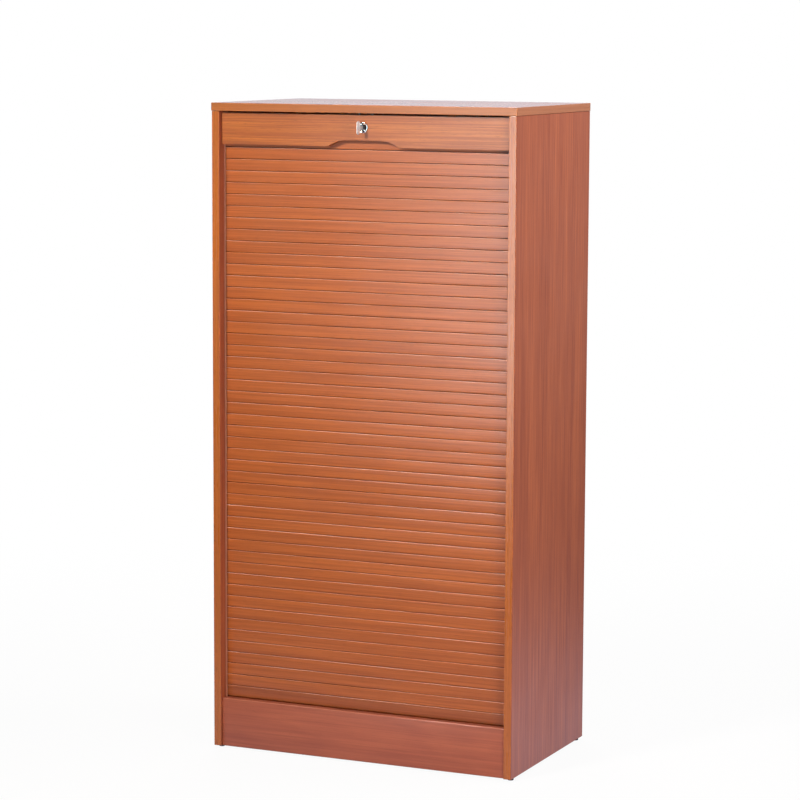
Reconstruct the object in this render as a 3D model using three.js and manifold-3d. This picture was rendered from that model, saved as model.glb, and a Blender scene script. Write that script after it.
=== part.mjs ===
// Tambour door cabinet: a free-standing board cabinet whose slatted front
// runs down behind the plinth, under the deck and up in front of the back.
// Millimetres, +Z up. X is to the right, Y runs from the front to the back.
// The cabinet frame has Y = 0 at the front edge of the top panel and Z = 0 on
// the floor; the last group moves it to the middle of the whole outline.
import * as THREE from "three";
import { mergeVertices } from "three/addons/utils/BufferGeometryUtils.js";
import Module from "manifold-3d";

const wasm = await Module();
wasm.setup();

// Overall size
const total_width = 650;
const total_depth = 390;
const total_height = 1300;

// Boards
const board = 16;
const thin_board = 3;
const top_overhang = 1;

// Clearances
const seat_gap = 0.3;
const overrun = 1;
const weld = 0.0001;

// Plinth, deck and feet
const plinth_height = 98.5;
const plinth_setback = 4.5;
const rear_rail_height = 80;
const foot_height = 5;
const foot_radius = 6;
const foot_stem_radius = 2;
const foot_stem_length = 15;
const foot_inset = 19;
const foot_round = 1.2;

// Curtain slats
const slat_pitch = 23.1;
const slat_thickness = 7;
const slat_chamfer = 1;
const slat_joint = 1;
const backing = 1.6;
const curtain_sections = 8;
const tail_slats = 4;

// Track that carries the slat ends
const bend_radius = 50;
const run_lift = 37;
const track_wall = 1.2;
const track_base = 1.5;
const track_sunk = 6;
const track_proud = 3;
const slat_clearance = 0.4;
const end_clearance = 1;
const rear_run_clearance = 2;
const rear_run_spare = 100;
const bend_steps = 8;

// Lock bar
const bar_height = 62;
const bar_thickness = 16;
const bar_setback = 10.5;
const bar_top_gap = 3.5;
const bar_side_gap = 1;
const bar_stop_gap = 2;
const lead_show = 5.5;
const cutout_width = 152;
const cutout_flat = 84;
const cutout_shoulder = 0.35;
const cutout_height = 12.5;
const guide_plate = 2;
const guide_reach = 24;
const guide_height = 38;
const guide_clearance = 0.4;

// Inside
const interior_clearance = 6;
const shelf_back_gap = 2;
const inner_back_clearance = 8;
const shelf_shares = [1 / 3, 2 / 3];
const pin_radius = 2.5;
const pin_collar_radius = 4;
const pin_collar = 1;
const pin_depth = 8;
const pin_reach = 8;
const pin_inset = 40;
const hole_pitch = 32;
const spare_holes = 2;

// Back panel
const rebate_width = 8;
const rebate_depth = 5.5;
const back_screw_shares = [0.04, 0.5, 0.96];

// Screws
const screw_radius = 1.6;
const screw_length = 10;
const screw_head_radius = 3.4;
const screw_head = 1.4;
const screw_crown_radius = 1.8;
const screw_rim = 0.5;

// Lock
const lock_drop = 24;
const rosette_radius = 11;
const rosette_thickness = 2.2;
const rosette_round = 1;
const barrel_radius = 9;
const plug_radius = 5.2;
const plug_proud = 0.5;
const tang = 4;
const case_depth = 9;
const case_wall = 1.2;
const case_half_width = 30;
const case_above = 21.5;
const case_below = 17;
const cover_half_width = 40;
const lock_screw_inset = 5;
const hook_thickness = 2.5;
const hook_spacing = 27;
const hook_half_width = 2;
const hook_nose = 4;
const hook_nose_height = 3;
const hook_nose_lip = 1.5;
const hook_boss_radius = 5;
const hook_pivot_drop = 10;
const hook_pin_radius = 2;
const hook_tab_reach = 8.9;
const hook_tab_height = 8;
const hook_tip_clearance = 2;
const hook_swing = THREE.MathUtils.degToRad(6.5);

// Strike in the top panel
const strike_half_length = 42;
const strike_width = 17;
const strike_thickness = 1.5;
const strike_slot_clearance = 1.1;
const strike_slot_width = 4.5;
const strike_pocket_depth = 9;
const strike_pocket_width = 6.5;
const strike_screw_inset = 6;

// Key
const key_thickness = 2.2;
const key_blade_height = 7;
const key_bow_height = 26;
const key_bow_depth = 13;
const key_bow_corner = 5;
const key_shank = 12;
const key_hole_radius = 1.8;
const key_tip_gap = 0.6;
const key_tip_slope = 1.75;

// Roundness
const round_sides = 24;
const small_sides = 12;

// Places across, seen from the middle
const side_outer = total_width / 2 - top_overhang;
const side_inner = side_outer - board;
const track_floor = side_inner + track_sunk - track_base;
const slat_end = track_floor - end_clearance;
const foot_x = side_inner + board / 2;
const back_screw_x = side_inner + rebate_width / 2;
const strike_screw_x = strike_half_length - strike_screw_inset;
const lock_screw_x = cover_half_width - lock_screw_inset;

// Places from front to back
const carcass_front = top_overhang;
const plinth_front = carcass_front + plinth_setback;
const plinth_back = plinth_front + board;
const slat_sagitta = bend_radius - Math.sqrt(bend_radius ** 2 - (slat_pitch / 2) ** 2);
const channel_half = slat_thickness / 2 + slat_sagitta + slat_clearance;
const track_half = channel_half + track_wall;
const front_run = plinth_back + seat_gap + track_half;
const bar_front = carcass_front + bar_setback;
const bar_back = bar_front + bar_thickness;
const interior_front = front_run + track_half + interior_clearance;
const rebate_floor = total_depth - rebate_depth;
const back_front = rebate_floor + seat_gap;
const rail_front = back_front - seat_gap - board;
const rear_run = rail_front - rear_run_clearance - track_half;
const inner_back_rear = rear_run - track_half - inner_back_clearance;
const interior_rear = inner_back_rear - thin_board;
const shelf_rear = interior_rear - shelf_back_gap;
const foot_places = [carcass_front + foot_inset, total_depth - foot_inset];
const pin_places = [interior_front + pin_inset, shelf_rear - pin_inset];

// Places from the floor up
const top_underside = total_height - board;
const side_top = top_underside - seat_gap;
const plinth_top = foot_height + plinth_height;
const bottom_run = foot_height + run_lift;
const bend_level = bottom_run + bend_radius;
const bar_top = top_underside - bar_top_gap;
const bar_bottom = bar_top - bar_height;
const lead_bottom = bar_bottom - lead_show;
const lead_top = lead_bottom + slat_pitch;
const lock_level = bar_top - lock_drop;
const bar_travel = bar_bottom - plinth_top - bar_stop_gap;
const inner_height = top_underside - plinth_top;
const shelf_levels = shelf_shares.map((share) => plinth_top + share * inner_height);
const pin_drop = pin_radius + seat_gap + board / 2;
const back_height = side_top - foot_height;
const back_screw_levels = back_screw_shares.map((share) => foot_height + share * back_height);

// Places in the lock, measured back from the face of the bar and from its axis
const rosette_front = -seat_gap - rosette_thickness;
const plug_front = rosette_front - plug_proud;
const case_front = bar_thickness - case_depth;
const hook_back = bar_thickness - case_wall;
const hook_front = hook_back - hook_thickness;
const strike_centre = bar_front + (hook_front + hook_back) / 2;
const cover_front = bar_thickness + seat_gap;
const cover_back = cover_front + case_wall;
const lock_screw_seat = cover_back + seat_gap;
const lock_screw_rise = (case_above - case_below) / 2;
const plug_back = hook_front - seat_gap;
const hook_pivot_x = hook_spacing / 2;
const hook_outer = hook_pivot_x + hook_half_width + hook_nose;
const slot_inner = hook_pivot_x - hook_half_width - strike_slot_clearance;
const slot_outer = hook_outer + strike_slot_clearance;
const strike_under = lock_drop + bar_top_gap;
const strike_over = strike_under + strike_thickness;
const nose_under = strike_over + hook_tip_clearance;
const hook_tip = nose_under + hook_nose_height;
const tab_inner = hook_pivot_x - hook_tab_reach;
const cam_half_width = tab_inner - seat_gap;
const cam_half_length =
  hook_pivot_x -
  hook_tab_reach * Math.cos(hook_swing) +
  hook_pivot_drop * Math.sin(hook_swing) -
  seat_gap;
const key_front = plug_front - key_shank - key_bow_depth;

// Finishes
const cherry = { color: 0xb56a48, roughness: 0.45, metalness: 0 };
const cherry_dark = { color: 0x9c5a41, roughness: 0.5, metalness: 0 };
const hardboard = { color: 0x8a6a50, roughness: 0.8, metalness: 0 };
const grey_plastic = { color: 0x7a6a66, roughness: 0.5, metalness: 0 };
const black_plastic = { color: 0x161616, roughness: 0.6, metalness: 0 };
const bright_metal = { color: 0xd8d9dc, roughness: 0.2, metalness: 1 };
const plain_steel = { color: 0x9a9ca0, roughness: 0.4, metalness: 1 };

// A named mesh with a material of its own
function piece(name, geometry, finish) {
  const mesh = new THREE.Mesh(geometry, new THREE.MeshStandardMaterial(finish));
  mesh.name = name;
  return mesh;
}

function placed(object, x, y, z) {
  object.position.set(x, y, z);
  return object;
}

// A box between two corners
function block(x0, x1, y0, y1, z0, z1) {
  const box = new THREE.BoxGeometry(x1 - x0, y1 - y0, z1 - z0);
  return box.translate((x0 + x1) / 2, (y0 + y1) / 2, (z0 + z1) / 2);
}

// A box that is centred across the cabinet
function panel(half_width, y0, y1, z0, z1) {
  return block(-half_width, half_width, y0, y1, z0, z1);
}

// A rod along X, Y or Z from one end to the other
function rodX(radius, x0, x1, y, z, sides = small_sides) {
  const rod = new THREE.CylinderGeometry(radius, radius, x1 - x0, sides);
  return rod.rotateZ(Math.PI / 2).translate((x0 + x1) / 2, y, z);
}

function rodY(radius, y0, y1, x, z, sides = small_sides) {
  const rod = new THREE.CylinderGeometry(radius, radius, y1 - y0, sides);
  return rod.translate(x, (y0 + y1) / 2, z);
}

function rodZ(radius, z0, z1, x, y, sides = small_sides) {
  const rod = new THREE.CylinderGeometry(radius, radius, z1 - z0, sides);
  return rod.rotateX(Math.PI / 2).translate(x, y, (z0 + z1) / 2);
}

// An outline drawn in Y and Z, carried along X about the middle
function carriedAcross(shape, width, x = 0) {
  const geometry = new THREE.ExtrudeGeometry(shape, { depth: width, bevelEnabled: false });
  const turn = new THREE.Matrix4().makeBasis(
    new THREE.Vector3(0, 1, 0),
    new THREE.Vector3(0, 0, 1),
    new THREE.Vector3(1, 0, 0),
  );
  return geometry.applyMatrix4(turn).translate(x - width / 2, 0, 0);
}

// An outline drawn in X and Z, carried back from y
function carriedBack(shape, y, depth) {
  const geometry = new THREE.ExtrudeGeometry(shape, { depth, bevelEnabled: false });
  return geometry.rotateX(Math.PI / 2).translate(0, y + depth, 0);
}

// An outline drawn in X and Y, carried up from z
function carriedUp(shape, z, height) {
  const geometry = new THREE.ExtrudeGeometry(shape, { depth: height, bevelEnabled: false });
  return geometry.translate(0, 0, z);
}

function outline(points) {
  return new THREE.Shape(points.map(([a, b]) => new THREE.Vector2(a, b)));
}

// Joining and cutting closed geometries
function solid(geometry) {
  const bare = geometry.clone();
  bare.deleteAttribute("normal");
  bare.deleteAttribute("uv");
  const merged = mergeVertices(bare, weld);
  const vertProperties = new Float32Array(merged.attributes.position.array);
  const triVerts = new Uint32Array(merged.index.array);
  return new wasm.Manifold(new wasm.Mesh({ numProp: 3, vertProperties, triVerts }));
}

function geometryOf(made) {
  const mesh = made.getMesh();
  const geometry = new THREE.BufferGeometry();
  geometry.setAttribute("position", new THREE.BufferAttribute(mesh.vertProperties, 3));
  geometry.setIndex(new THREE.BufferAttribute(mesh.triVerts, 1));
  geometry.computeVertexNormals();
  return geometry;
}

function cut(base, ...tools) {
  return geometryOf(tools.reduce((left, tool) => left.subtract(solid(tool)), solid(base)));
}

function join(base, ...others) {
  return geometryOf(others.reduce((sum, other) => sum.add(solid(other)), solid(base)));
}

// A profile of [outward, across] points carried along stations of the run
function carriedAlong(stations, profile) {
  const count = profile.length;
  const corners = stations.flatMap((s) =>
    profile.flatMap(([u, x]) => [x, s.y + u * s.ny, s.z + u * s.nz]),
  );
  const faces = [];
  for (let i = 0; i < stations.length - 1; i++)
    for (let j = 0; j < count; j++) {
      const a = i * count + j;
      const b = i * count + ((j + 1) % count);
      faces.push(a, b + count, b, a, a + count, b + count);
    }
  const flat = profile.map(([u, x]) => new THREE.Vector2(u, x));
  const last = (stations.length - 1) * count;
  for (const [a, b, c] of THREE.ShapeUtils.triangulateShape(flat, []))
    faces.push(a, b, c, last + a, last + c, last + b);
  const geometry = new THREE.BufferGeometry();
  geometry.setAttribute("position", new THREE.Float32BufferAttribute(corners, 3));
  geometry.setIndex(faces);
  geometry.computeVertexNormals();
  return geometry;
}

// The run of the curtain: down the front, round under the deck and up the back
const front_length = side_top - bend_level;
const bend_length = (Math.PI / 2) * bend_radius;
const bottom_length = rear_run - front_run - 2 * bend_radius;
const slats_in_front = Math.floor((lead_bottom - bend_level) / slat_pitch);
const lead_start = side_top - lead_top;
const curtain_start = lead_start + slat_pitch;
const curtain_end = curtain_start + (slats_in_front + tail_slats) * slat_pitch;
const rear_start = front_length + bottom_length + 2 * bend_length;
const rear_length = Math.min(
  curtain_end + bar_travel + rear_run_spare - rear_start,
  side_top - bend_level - board,
);

// A place on the run at a distance from its top front end, with its outward side
function runPoint(distance) {
  const s1 = distance - front_length;
  if (s1 <= 0) return { y: front_run, z: side_top - distance, ny: -1, nz: 0 };
  const s2 = s1 - bend_length;
  if (s2 <= 0) {
    const turn = s1 / bend_radius;
    return bendPoint(front_run + bend_radius, -Math.cos(turn), -Math.sin(turn));
  }
  const s3 = s2 - bottom_length;
  if (s3 <= 0) return { y: front_run + bend_radius + s2, z: bottom_run, ny: 0, nz: -1 };
  const s4 = s3 - bend_length;
  if (s4 <= 0) {
    const turn = s3 / bend_radius;
    return bendPoint(rear_run - bend_radius, Math.sin(turn), -Math.cos(turn));
  }
  return { y: rear_run, z: bend_level + s4, ny: 1, nz: 0 };
}

function bendPoint(centre, ny, nz) {
  return { y: centre + bend_radius * ny, z: bend_level + bend_radius * nz, ny, nz };
}

// Stations for the track, closer together in the two bends
function runStations(spare_top, spare_end) {
  const distances = [-spare_top, front_length];
  for (let i = 1; i <= bend_steps; i++)
    distances.push(front_length + (i / bend_steps) * bend_length);
  for (let i = 0; i <= bend_steps; i++)
    distances.push(front_length + bend_length + bottom_length + (i / bend_steps) * bend_length);
  distances.push(rear_start + rear_length + spare_end);
  return distances.map(runPoint);
}

// Side panels, seen on the right and mirrored for the left
function sidePanel() {
  const base = block(side_inner, side_outer, carcass_front, total_depth, foot_height, side_top);
  const reach = track_half + seat_gap;
  const groove = [
    [-reach, side_inner - overrun],
    [reach, side_inner - overrun],
    [reach, side_inner + track_sunk + seat_gap],
    [-reach, side_inner + track_sunk + seat_gap],
  ];
  const tools = [
    carriedAlong(runStations(overrun, seat_gap), groove),
    block(
      side_inner - overrun,
      side_inner + rebate_width,
      rebate_floor,
      total_depth + overrun,
      foot_height - overrun,
      side_top + overrun,
    ),
    ...footHoles(),
    ...pinHoles(),
    ...backScrewHoles(rebate_floor - screw_length, back_screw_x),
  ];
  return cut(base, ...tools);
}

function footHoles() {
  const top = foot_height + foot_stem_length;
  return foot_places.map((y) =>
    rodZ(foot_stem_radius + seat_gap, foot_height - overrun, top, foot_x, y),
  );
}

// A row of holes above and below each shelf's own pin
function pinHoles() {
  const holes = [];
  for (const level of shelf_levels)
    for (let step = -spare_holes; step <= spare_holes; step++)
      for (const y of pin_places) {
        const z = level - pin_drop + step * hole_pitch;
        const end = side_inner + pin_depth + seat_gap;
        holes.push(rodX(pin_radius + seat_gap, side_inner - overrun, end, y, z));
      }
  return holes;
}

function backScrewHoles(y0, x) {
  return back_screw_levels.map((z) =>
    rodY(screw_radius + seat_gap, y0, total_depth + overrun, x, z),
  );
}

function track() {
  const base = side_inner + track_sunk;
  const lip = side_inner - track_proud;
  const profile = [
    [-track_half, lip],
    [-channel_half, lip],
    [-channel_half, track_floor],
    [channel_half, track_floor],
    [channel_half, lip],
    [track_half, lip],
    [track_half, base],
    [-track_half, base],
  ];
  return carriedAlong(runStations(0, 0), profile);
}

// A foot pushed into the lower edge of a side panel
function foot() {
  const top = foot_height - seat_gap;
  const tip = foot_height + foot_stem_length - seat_gap;
  const points = [
    [0, 0],
    [foot_radius - foot_round, 0],
    [foot_radius, foot_round],
    [foot_radius, top],
    [foot_stem_radius, top],
    [foot_stem_radius, tip],
    [0, tip],
  ];
  return turned(points, round_sides).rotateX(Math.PI / 2);
}

function turned(points, sides) {
  return new THREE.LatheGeometry(
    points.map(([r, h]) => new THREE.Vector2(r, h)),
    sides,
  );
}

// A shelf pin with its stem in the panel and its head under the shelf
function shelfPin() {
  const points = [
    [0, -pin_reach - pin_collar],
    [pin_radius, -pin_reach - pin_collar],
    [pin_radius, -pin_collar - seat_gap],
    [pin_collar_radius, -pin_collar - seat_gap],
    [pin_collar_radius, -seat_gap],
    [pin_radius, -seat_gap],
    [pin_radius, pin_depth],
    [0, pin_depth],
  ];
  return turned(points, small_sides).rotateZ(-Math.PI / 2);
}

// A round-headed screw with its head at -Y
function screw() {
  const points = [
    [0, -screw_head],
    [screw_crown_radius, -screw_head],
    [screw_head_radius, -screw_rim],
    [screw_head_radius, 0],
    [screw_radius, 0],
    [screw_radius, screw_length - screw_radius],
    [0, screw_length],
  ];
  return turned(points, small_sides);
}

// One side of the cabinet with its track, feet and shelf pins
function sideGroup(side, mirror) {
  const group = new THREE.Group();
  group.scale.x = mirror;
  group.add(piece(`${side}_side_panel`, sidePanel(), cherry));
  group.add(piece(`${side}_track`, track(), grey_plastic));
  const ends = ["front", "rear"];
  foot_places.forEach((y, i) => {
    const glide = piece(`glide_${ends[i]}_${side}`, foot(), black_plastic);
    group.add(placed(glide, foot_x, y, 0));
  });
  shelf_levels.forEach((level, n) =>
    pin_places.forEach((y, i) => {
      const pin = piece(`shelf_${n + 1}_pin_${ends[i]}_${side}`, shelfPin(), plain_steel);
      group.add(placed(pin, side_inner, y, level - pin_drop));
    }),
  );
  back_screw_levels.forEach((z, n) => {
    const back_screw = piece(`back_screw_${n + 1}_${side}`, screw(), plain_steel);
    back_screw.rotation.x = Math.PI;
    const y = back_front + thin_board + seat_gap;
    group.add(placed(back_screw, back_screw_x, y, z));
  });
  return group;
}

// The top panel with the recess, pocket and screw holes of the strike
function topPanel() {
  const half = total_width / 2;
  const y = strike_centre;
  const plate_half = strike_width / 2 + seat_gap;
  const pocket_half = strike_pocket_width / 2;
  const plate_top = top_underside + strike_thickness + seat_gap;
  const below = top_underside - overrun;
  const pocket_top = top_underside + strike_pocket_depth;
  const pocket_reach = slot_outer + hook_nose + strike_slot_clearance;
  return cut(
    panel(half, 0, total_depth, top_underside, total_height),
    panel(strike_half_length + seat_gap, y - plate_half, y + plate_half, below, plate_top),
    panel(pocket_reach, y - pocket_half, y + pocket_half, below, pocket_top),
    ...strikeScrewHoles(below),
  );
}

function strikeScrewHoles(below) {
  const above = top_underside + screw_length + seat_gap;
  return [-1, 1].map((side) =>
    rodZ(screw_radius + seat_gap, below, above, side * strike_screw_x, strike_centre),
  );
}

function strikePlate() {
  const y = strike_centre;
  const half = strike_width / 2;
  const top = top_underside + strike_thickness;
  const below = top_underside - overrun;
  const above = top + overrun;
  const slot_half = strike_slot_width / 2;
  const slots = [-1, 1].map((side) => {
    const ends = [side * slot_inner, side * slot_outer].sort((a, b) => a - b);
    return block(...ends, y - slot_half, y + slot_half, below, above);
  });
  return cut(
    panel(strike_half_length, y - half, y + half, top_underside, top),
    ...slots,
    ...strikeScrewHoles(below),
  );
}

// The fixed boards between the sides
function carcassGroup() {
  const group = new THREE.Group();
  const half = side_inner - seat_gap;
  const deck_bottom = plinth_top - board;
  const boards = {
    top_panel: [topPanel(), cherry],
    plinth_board: [panel(half, plinth_front, plinth_back, foot_height, plinth_top), cherry],
    deck_panel: [panel(half, interior_front, inner_back_rear, deck_bottom, plinth_top), cherry],
    rear_rail: [
      panel(half, rail_front, rail_front + board, foot_height, foot_height + rear_rail_height),
      cherry_dark,
    ],
    inner_back: [
      panel(half, interior_rear, inner_back_rear, plinth_top + seat_gap, side_top),
      hardboard,
    ],
    back_panel: [backPanel(), hardboard],
    strike_plate: [strikePlate(), plain_steel],
  };
  for (const [name, [geometry, finish]] of Object.entries(boards))
    group.add(piece(name, geometry, finish));
  for (const side of [-1, 1]) {
    const name = side < 0 ? "strike_screw_left" : "strike_screw_right";
    const strike_screw = piece(name, screw(), plain_steel);
    strike_screw.rotation.x = Math.PI / 2;
    const z = top_underside - seat_gap;
    group.add(placed(strike_screw, side * strike_screw_x, strike_centre, z));
  }
  return group;
}

function backPanel() {
  const half = side_inner + rebate_width - seat_gap;
  const base = panel(half, back_front, back_front + thin_board, foot_height, side_top);
  return cut(
    base,
    ...backScrewHoles(back_front - overrun, back_screw_x),
    ...backScrewHoles(back_front - overrun, -back_screw_x),
  );
}

// Shelves that lie on their pins
function shelfGroup() {
  const group = new THREE.Group();
  const width = 2 * (side_inner - pin_collar - 2 * seat_gap);
  const depth = shelf_rear - interior_front;
  shelf_levels.forEach((level, n) => {
    const shelf = piece(`shelf_${n + 1}`, new THREE.BoxGeometry(width, depth, board), cherry);
    group.add(placed(shelf, 0, (interior_front + shelf_rear) / 2, level));
  });
  return group;
}

// The side view of some slats on their backing, between two distances on the run
function slatOutline(start, count) {
  const half = slat_thickness / 2;
  const front = [];
  const back = [];
  for (let i = 0; i < count; i++) {
    const first = i === 0 ? seat_gap / 2 : 0;
    const last = i === count - 1 ? seat_gap / 2 : 0;
    const a = runPoint(start + i * slat_pitch + first);
    const b = runPoint(start + (i + 1) * slat_pitch - last);
    const length = Math.hypot(b.y - a.y, b.z - a.z);
    const [ty, tz] = [(b.y - a.y) / length, (b.z - a.z) / length];
    const at = (along, out) => [
      a.y + along * ty + out * tz,
      a.z + along * tz - out * ty,
    ];
    const edge = slat_joint / 2;
    const shoulder = edge + slat_chamfer;
    front.push(at(edge, backing - half), at(edge, half - slat_chamfer), at(shoulder, half));
    front.push(at(length - shoulder, half), at(length - edge, half - slat_chamfer));
    front.push(at(length - edge, backing - half));
    if (i === 0) back.push([a.y - half * a.ny, a.z - half * a.nz]);
    back.push([b.y - half * b.ny, b.z - half * b.nz]);
  }
  return outline([...front, ...back.reverse()]);
}

function curtainGroup() {
  const group = new THREE.Group();
  const slatsBefore = (n) => Math.round((n * slats_in_front) / curtain_sections);
  for (let n = 0; n < curtain_sections; n++) {
    const first = slatsBefore(n);
    const shape = slatOutline(curtain_start + first * slat_pitch, slatsBefore(n + 1) - first);
    const name = `curtain_section_${String(n + 1).padStart(2, "0")}`;
    group.add(piece(name, carriedAcross(shape, 2 * slat_end), cherry));
  }
  const tail = slatOutline(curtain_start + slats_in_front * slat_pitch, tail_slats);
  group.add(piece("curtain_tail", carriedAcross(tail, 2 * slat_end), cherry));
  return group;
}

// The finger cutout in the lower edge of the bar, drawn in X and Z
function cutoutShape() {
  const wide = cutout_width / 2;
  const flat = cutout_flat / 2;
  const top = bar_bottom + cutout_height;
  const bend = flat + cutout_shoulder * (wide - flat);
  const shape = new THREE.Shape();
  shape.moveTo(-wide, bar_bottom);
  shape.quadraticCurveTo(-bend, top, -flat, top);
  shape.lineTo(flat, top);
  shape.quadraticCurveTo(bend, top, wide, bar_bottom);
  shape.lineTo(wide, bar_bottom - overrun);
  shape.lineTo(-wide, bar_bottom - overrun);
  return shape;
}

// The lock bar is full width in front of the tracks and narrower between them
function lockBar() {
  const wide = side_inner - bar_side_gap;
  const narrow = side_inner - track_proud - bar_side_gap;
  const shoulder = front_run - track_half - seat_gap;
  const plan = outline([
    [-wide, bar_front],
    [wide, bar_front],
    [wide, shoulder],
    [narrow, shoulder],
    [narrow, bar_back],
    [-narrow, bar_back],
    [-narrow, shoulder],
    [-wide, shoulder],
  ]);
  const slat_face = front_run - slat_thickness / 2;
  const past = bar_back + overrun;
  const pocket_half = case_half_width + seat_gap;
  const pocket_front = bar_front + case_front - seat_gap;
  const pocket_bottom = lock_level - case_below - seat_gap;
  const rebate_top = lead_top + seat_gap;
  return cut(
    carriedUp(plan, bar_bottom, bar_height),
    panel(wide, slat_face - seat_gap, past, bar_bottom - overrun, rebate_top),
    carriedBack(cutoutShape(), bar_front - overrun, bar_thickness + 2 * overrun),
    panel(pocket_half, pocket_front, past, pocket_bottom, bar_top + overrun),
    rodY(barrel_radius + seat_gap, bar_front - overrun, past, 0, lock_level, round_sides),
    ...lockScrewHoles(),
  );
}

function lockScrewHoles() {
  const radius = screw_radius + seat_gap;
  const tip = bar_front + lock_screw_seat - screw_length - seat_gap;
  const level = lock_level + lock_screw_rise;
  return [-1, 1].map((side) =>
    rodY(radius, tip, bar_back + overrun, side * lock_screw_x, level),
  );
}

// A plastic guide on each end of the bar that runs in the track
function barGuide() {
  const half = channel_half - guide_clearance;
  const inner = side_inner - track_proud - bar_side_gap + seat_gap;
  const plate_front = bar_back + seat_gap;
  const shape = outline([
    [inner - guide_reach, plate_front],
    [inner, plate_front],
    [inner, front_run - half],
    [slat_end, front_run - half],
    [slat_end, front_run + half],
    [inner, front_run + half],
    [inner, plate_front + guide_plate],
    [inner - guide_reach, plate_front + guide_plate],
  ]);
  return carriedUp(shape, lead_top + 2 * seat_gap, guide_height);
}

function barGroup() {
  const group = new THREE.Group();
  group.add(piece("lock_bar", lockBar(), cherry));
  const lead = slatOutline(lead_start, 1);
  group.add(piece("leading_slat", carriedAcross(lead, 2 * slat_end), cherry));
  for (const [side, mirror] of [["left", -1], ["right", 1]]) {
    const guide = piece(`bar_guide_${side}`, barGuide(), black_plastic);
    guide.scale.x = mirror;
    group.add(guide);
  }
  return group;
}

// Lock parts, drawn about the lock axis with Y = 0 on the face of the bar
function lockHousing() {
  const bore = plug_radius + seat_gap;
  const end = case_front - seat_gap;
  const points = [
    [bore, rosette_front],
    [rosette_radius - rosette_round, rosette_front],
    [rosette_radius, rosette_front + rosette_round],
    [rosette_radius, -seat_gap],
    [barrel_radius, -seat_gap],
    [barrel_radius, end],
    [bore, end],
    [bore, rosette_front],
  ];
  return turned(points, round_sides);
}

function lockPlug() {
  const half = tang / 2;
  const slot_half = key_thickness / 2 + seat_gap;
  const slot_reach = key_blade_height / 2 + seat_gap;
  const slot_front = plug_front - overrun;
  const slot_back = plug_back - seat_gap;
  return cut(
    join(
      rodY(plug_radius, plug_front, plug_back, 0, 0, round_sides),
      block(-half, half, plug_back - overrun, hook_back, -half, half),
    ),
    block(-slot_half, slot_half, slot_front, slot_back, -slot_reach, slot_reach),
  );
}

function lockCam() {
  const shape = new THREE.Shape();
  shape.absellipse(0, 0, cam_half_width, cam_half_length, 0, 2 * Math.PI);
  const reach = tang / 2 + seat_gap;
  const hole = block(-reach, reach, hook_front - overrun, hook_back + overrun, -reach, reach);
  return cut(carriedBack(shape, hook_front, hook_thickness), hole);
}

// A hook on the right of the lock, with the tab that the cam pushes
function hookShape() {
  const x = hook_pivot_x;
  const w = hook_half_width;
  const boss = hook_boss_radius;
  const tab = hook_tab_height / 2;
  const shape = new THREE.Shape();
  shape.moveTo(x - boss, -hook_pivot_drop);
  shape.absarc(x, -hook_pivot_drop, boss, Math.PI, 2 * Math.PI, false);
  shape.lineTo(x + w, -tab);
  shape.lineTo(x + w, nose_under);
  shape.lineTo(hook_outer, nose_under);
  shape.lineTo(hook_outer, nose_under + hook_nose_lip);
  shape.lineTo(x + w, hook_tip);
  shape.lineTo(x - w, hook_tip);
  shape.lineTo(x - w, tab);
  shape.lineTo(tab_inner, tab);
  shape.lineTo(tab_inner, -tab);
  return shape;
}

function hook() {
  const pivot = hook_pin_radius + seat_gap;
  const hole = rodY(
    pivot,
    hook_front - overrun,
    hook_back + overrun,
    hook_pivot_x,
    -hook_pivot_drop,
    round_sides,
  );
  return cut(carriedBack(hookShape(), hook_front, hook_thickness), hole);
}

// A steel tray let into the bar, open behind, with the pins of the two hooks
function lockCase() {
  const wall = case_wall;
  const inner = case_half_width - wall;
  const past = bar_thickness + overrun;
  const room = case_front + wall;
  const slots = [-1, 1].map((side) => {
    const ends = [side * slot_inner, side * slot_outer].sort((a, b) => a - b);
    return block(...ends, room, past, case_above - wall - overrun, case_above + overrun);
  });
  const tray = cut(
    panel(case_half_width, case_front, bar_thickness, -case_below, case_above),
    panel(inner, room, past, -case_below + wall, case_above - wall),
    rodY(plug_radius + seat_gap, case_front - overrun, past, 0, 0, round_sides),
    ...slots,
  );
  const pins = [-1, 1].map((side) =>
    rodY(
      hook_pin_radius,
      room - wall / 2,
      hook_back,
      side * hook_pivot_x,
      -hook_pivot_drop,
      round_sides,
    ),
  );
  return join(tray, ...pins);
}

function lockCover() {
  const base = panel(cover_half_width, cover_front, cover_back, -case_below, case_above);
  const radius = screw_radius + seat_gap;
  const [y0, y1] = [cover_front - overrun, cover_back + overrun];
  const holes = [-1, 1].map((side) =>
    rodY(radius, y0, y1, side * lock_screw_x, lock_screw_rise),
  );
  return cut(base, ...holes);
}

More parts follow.
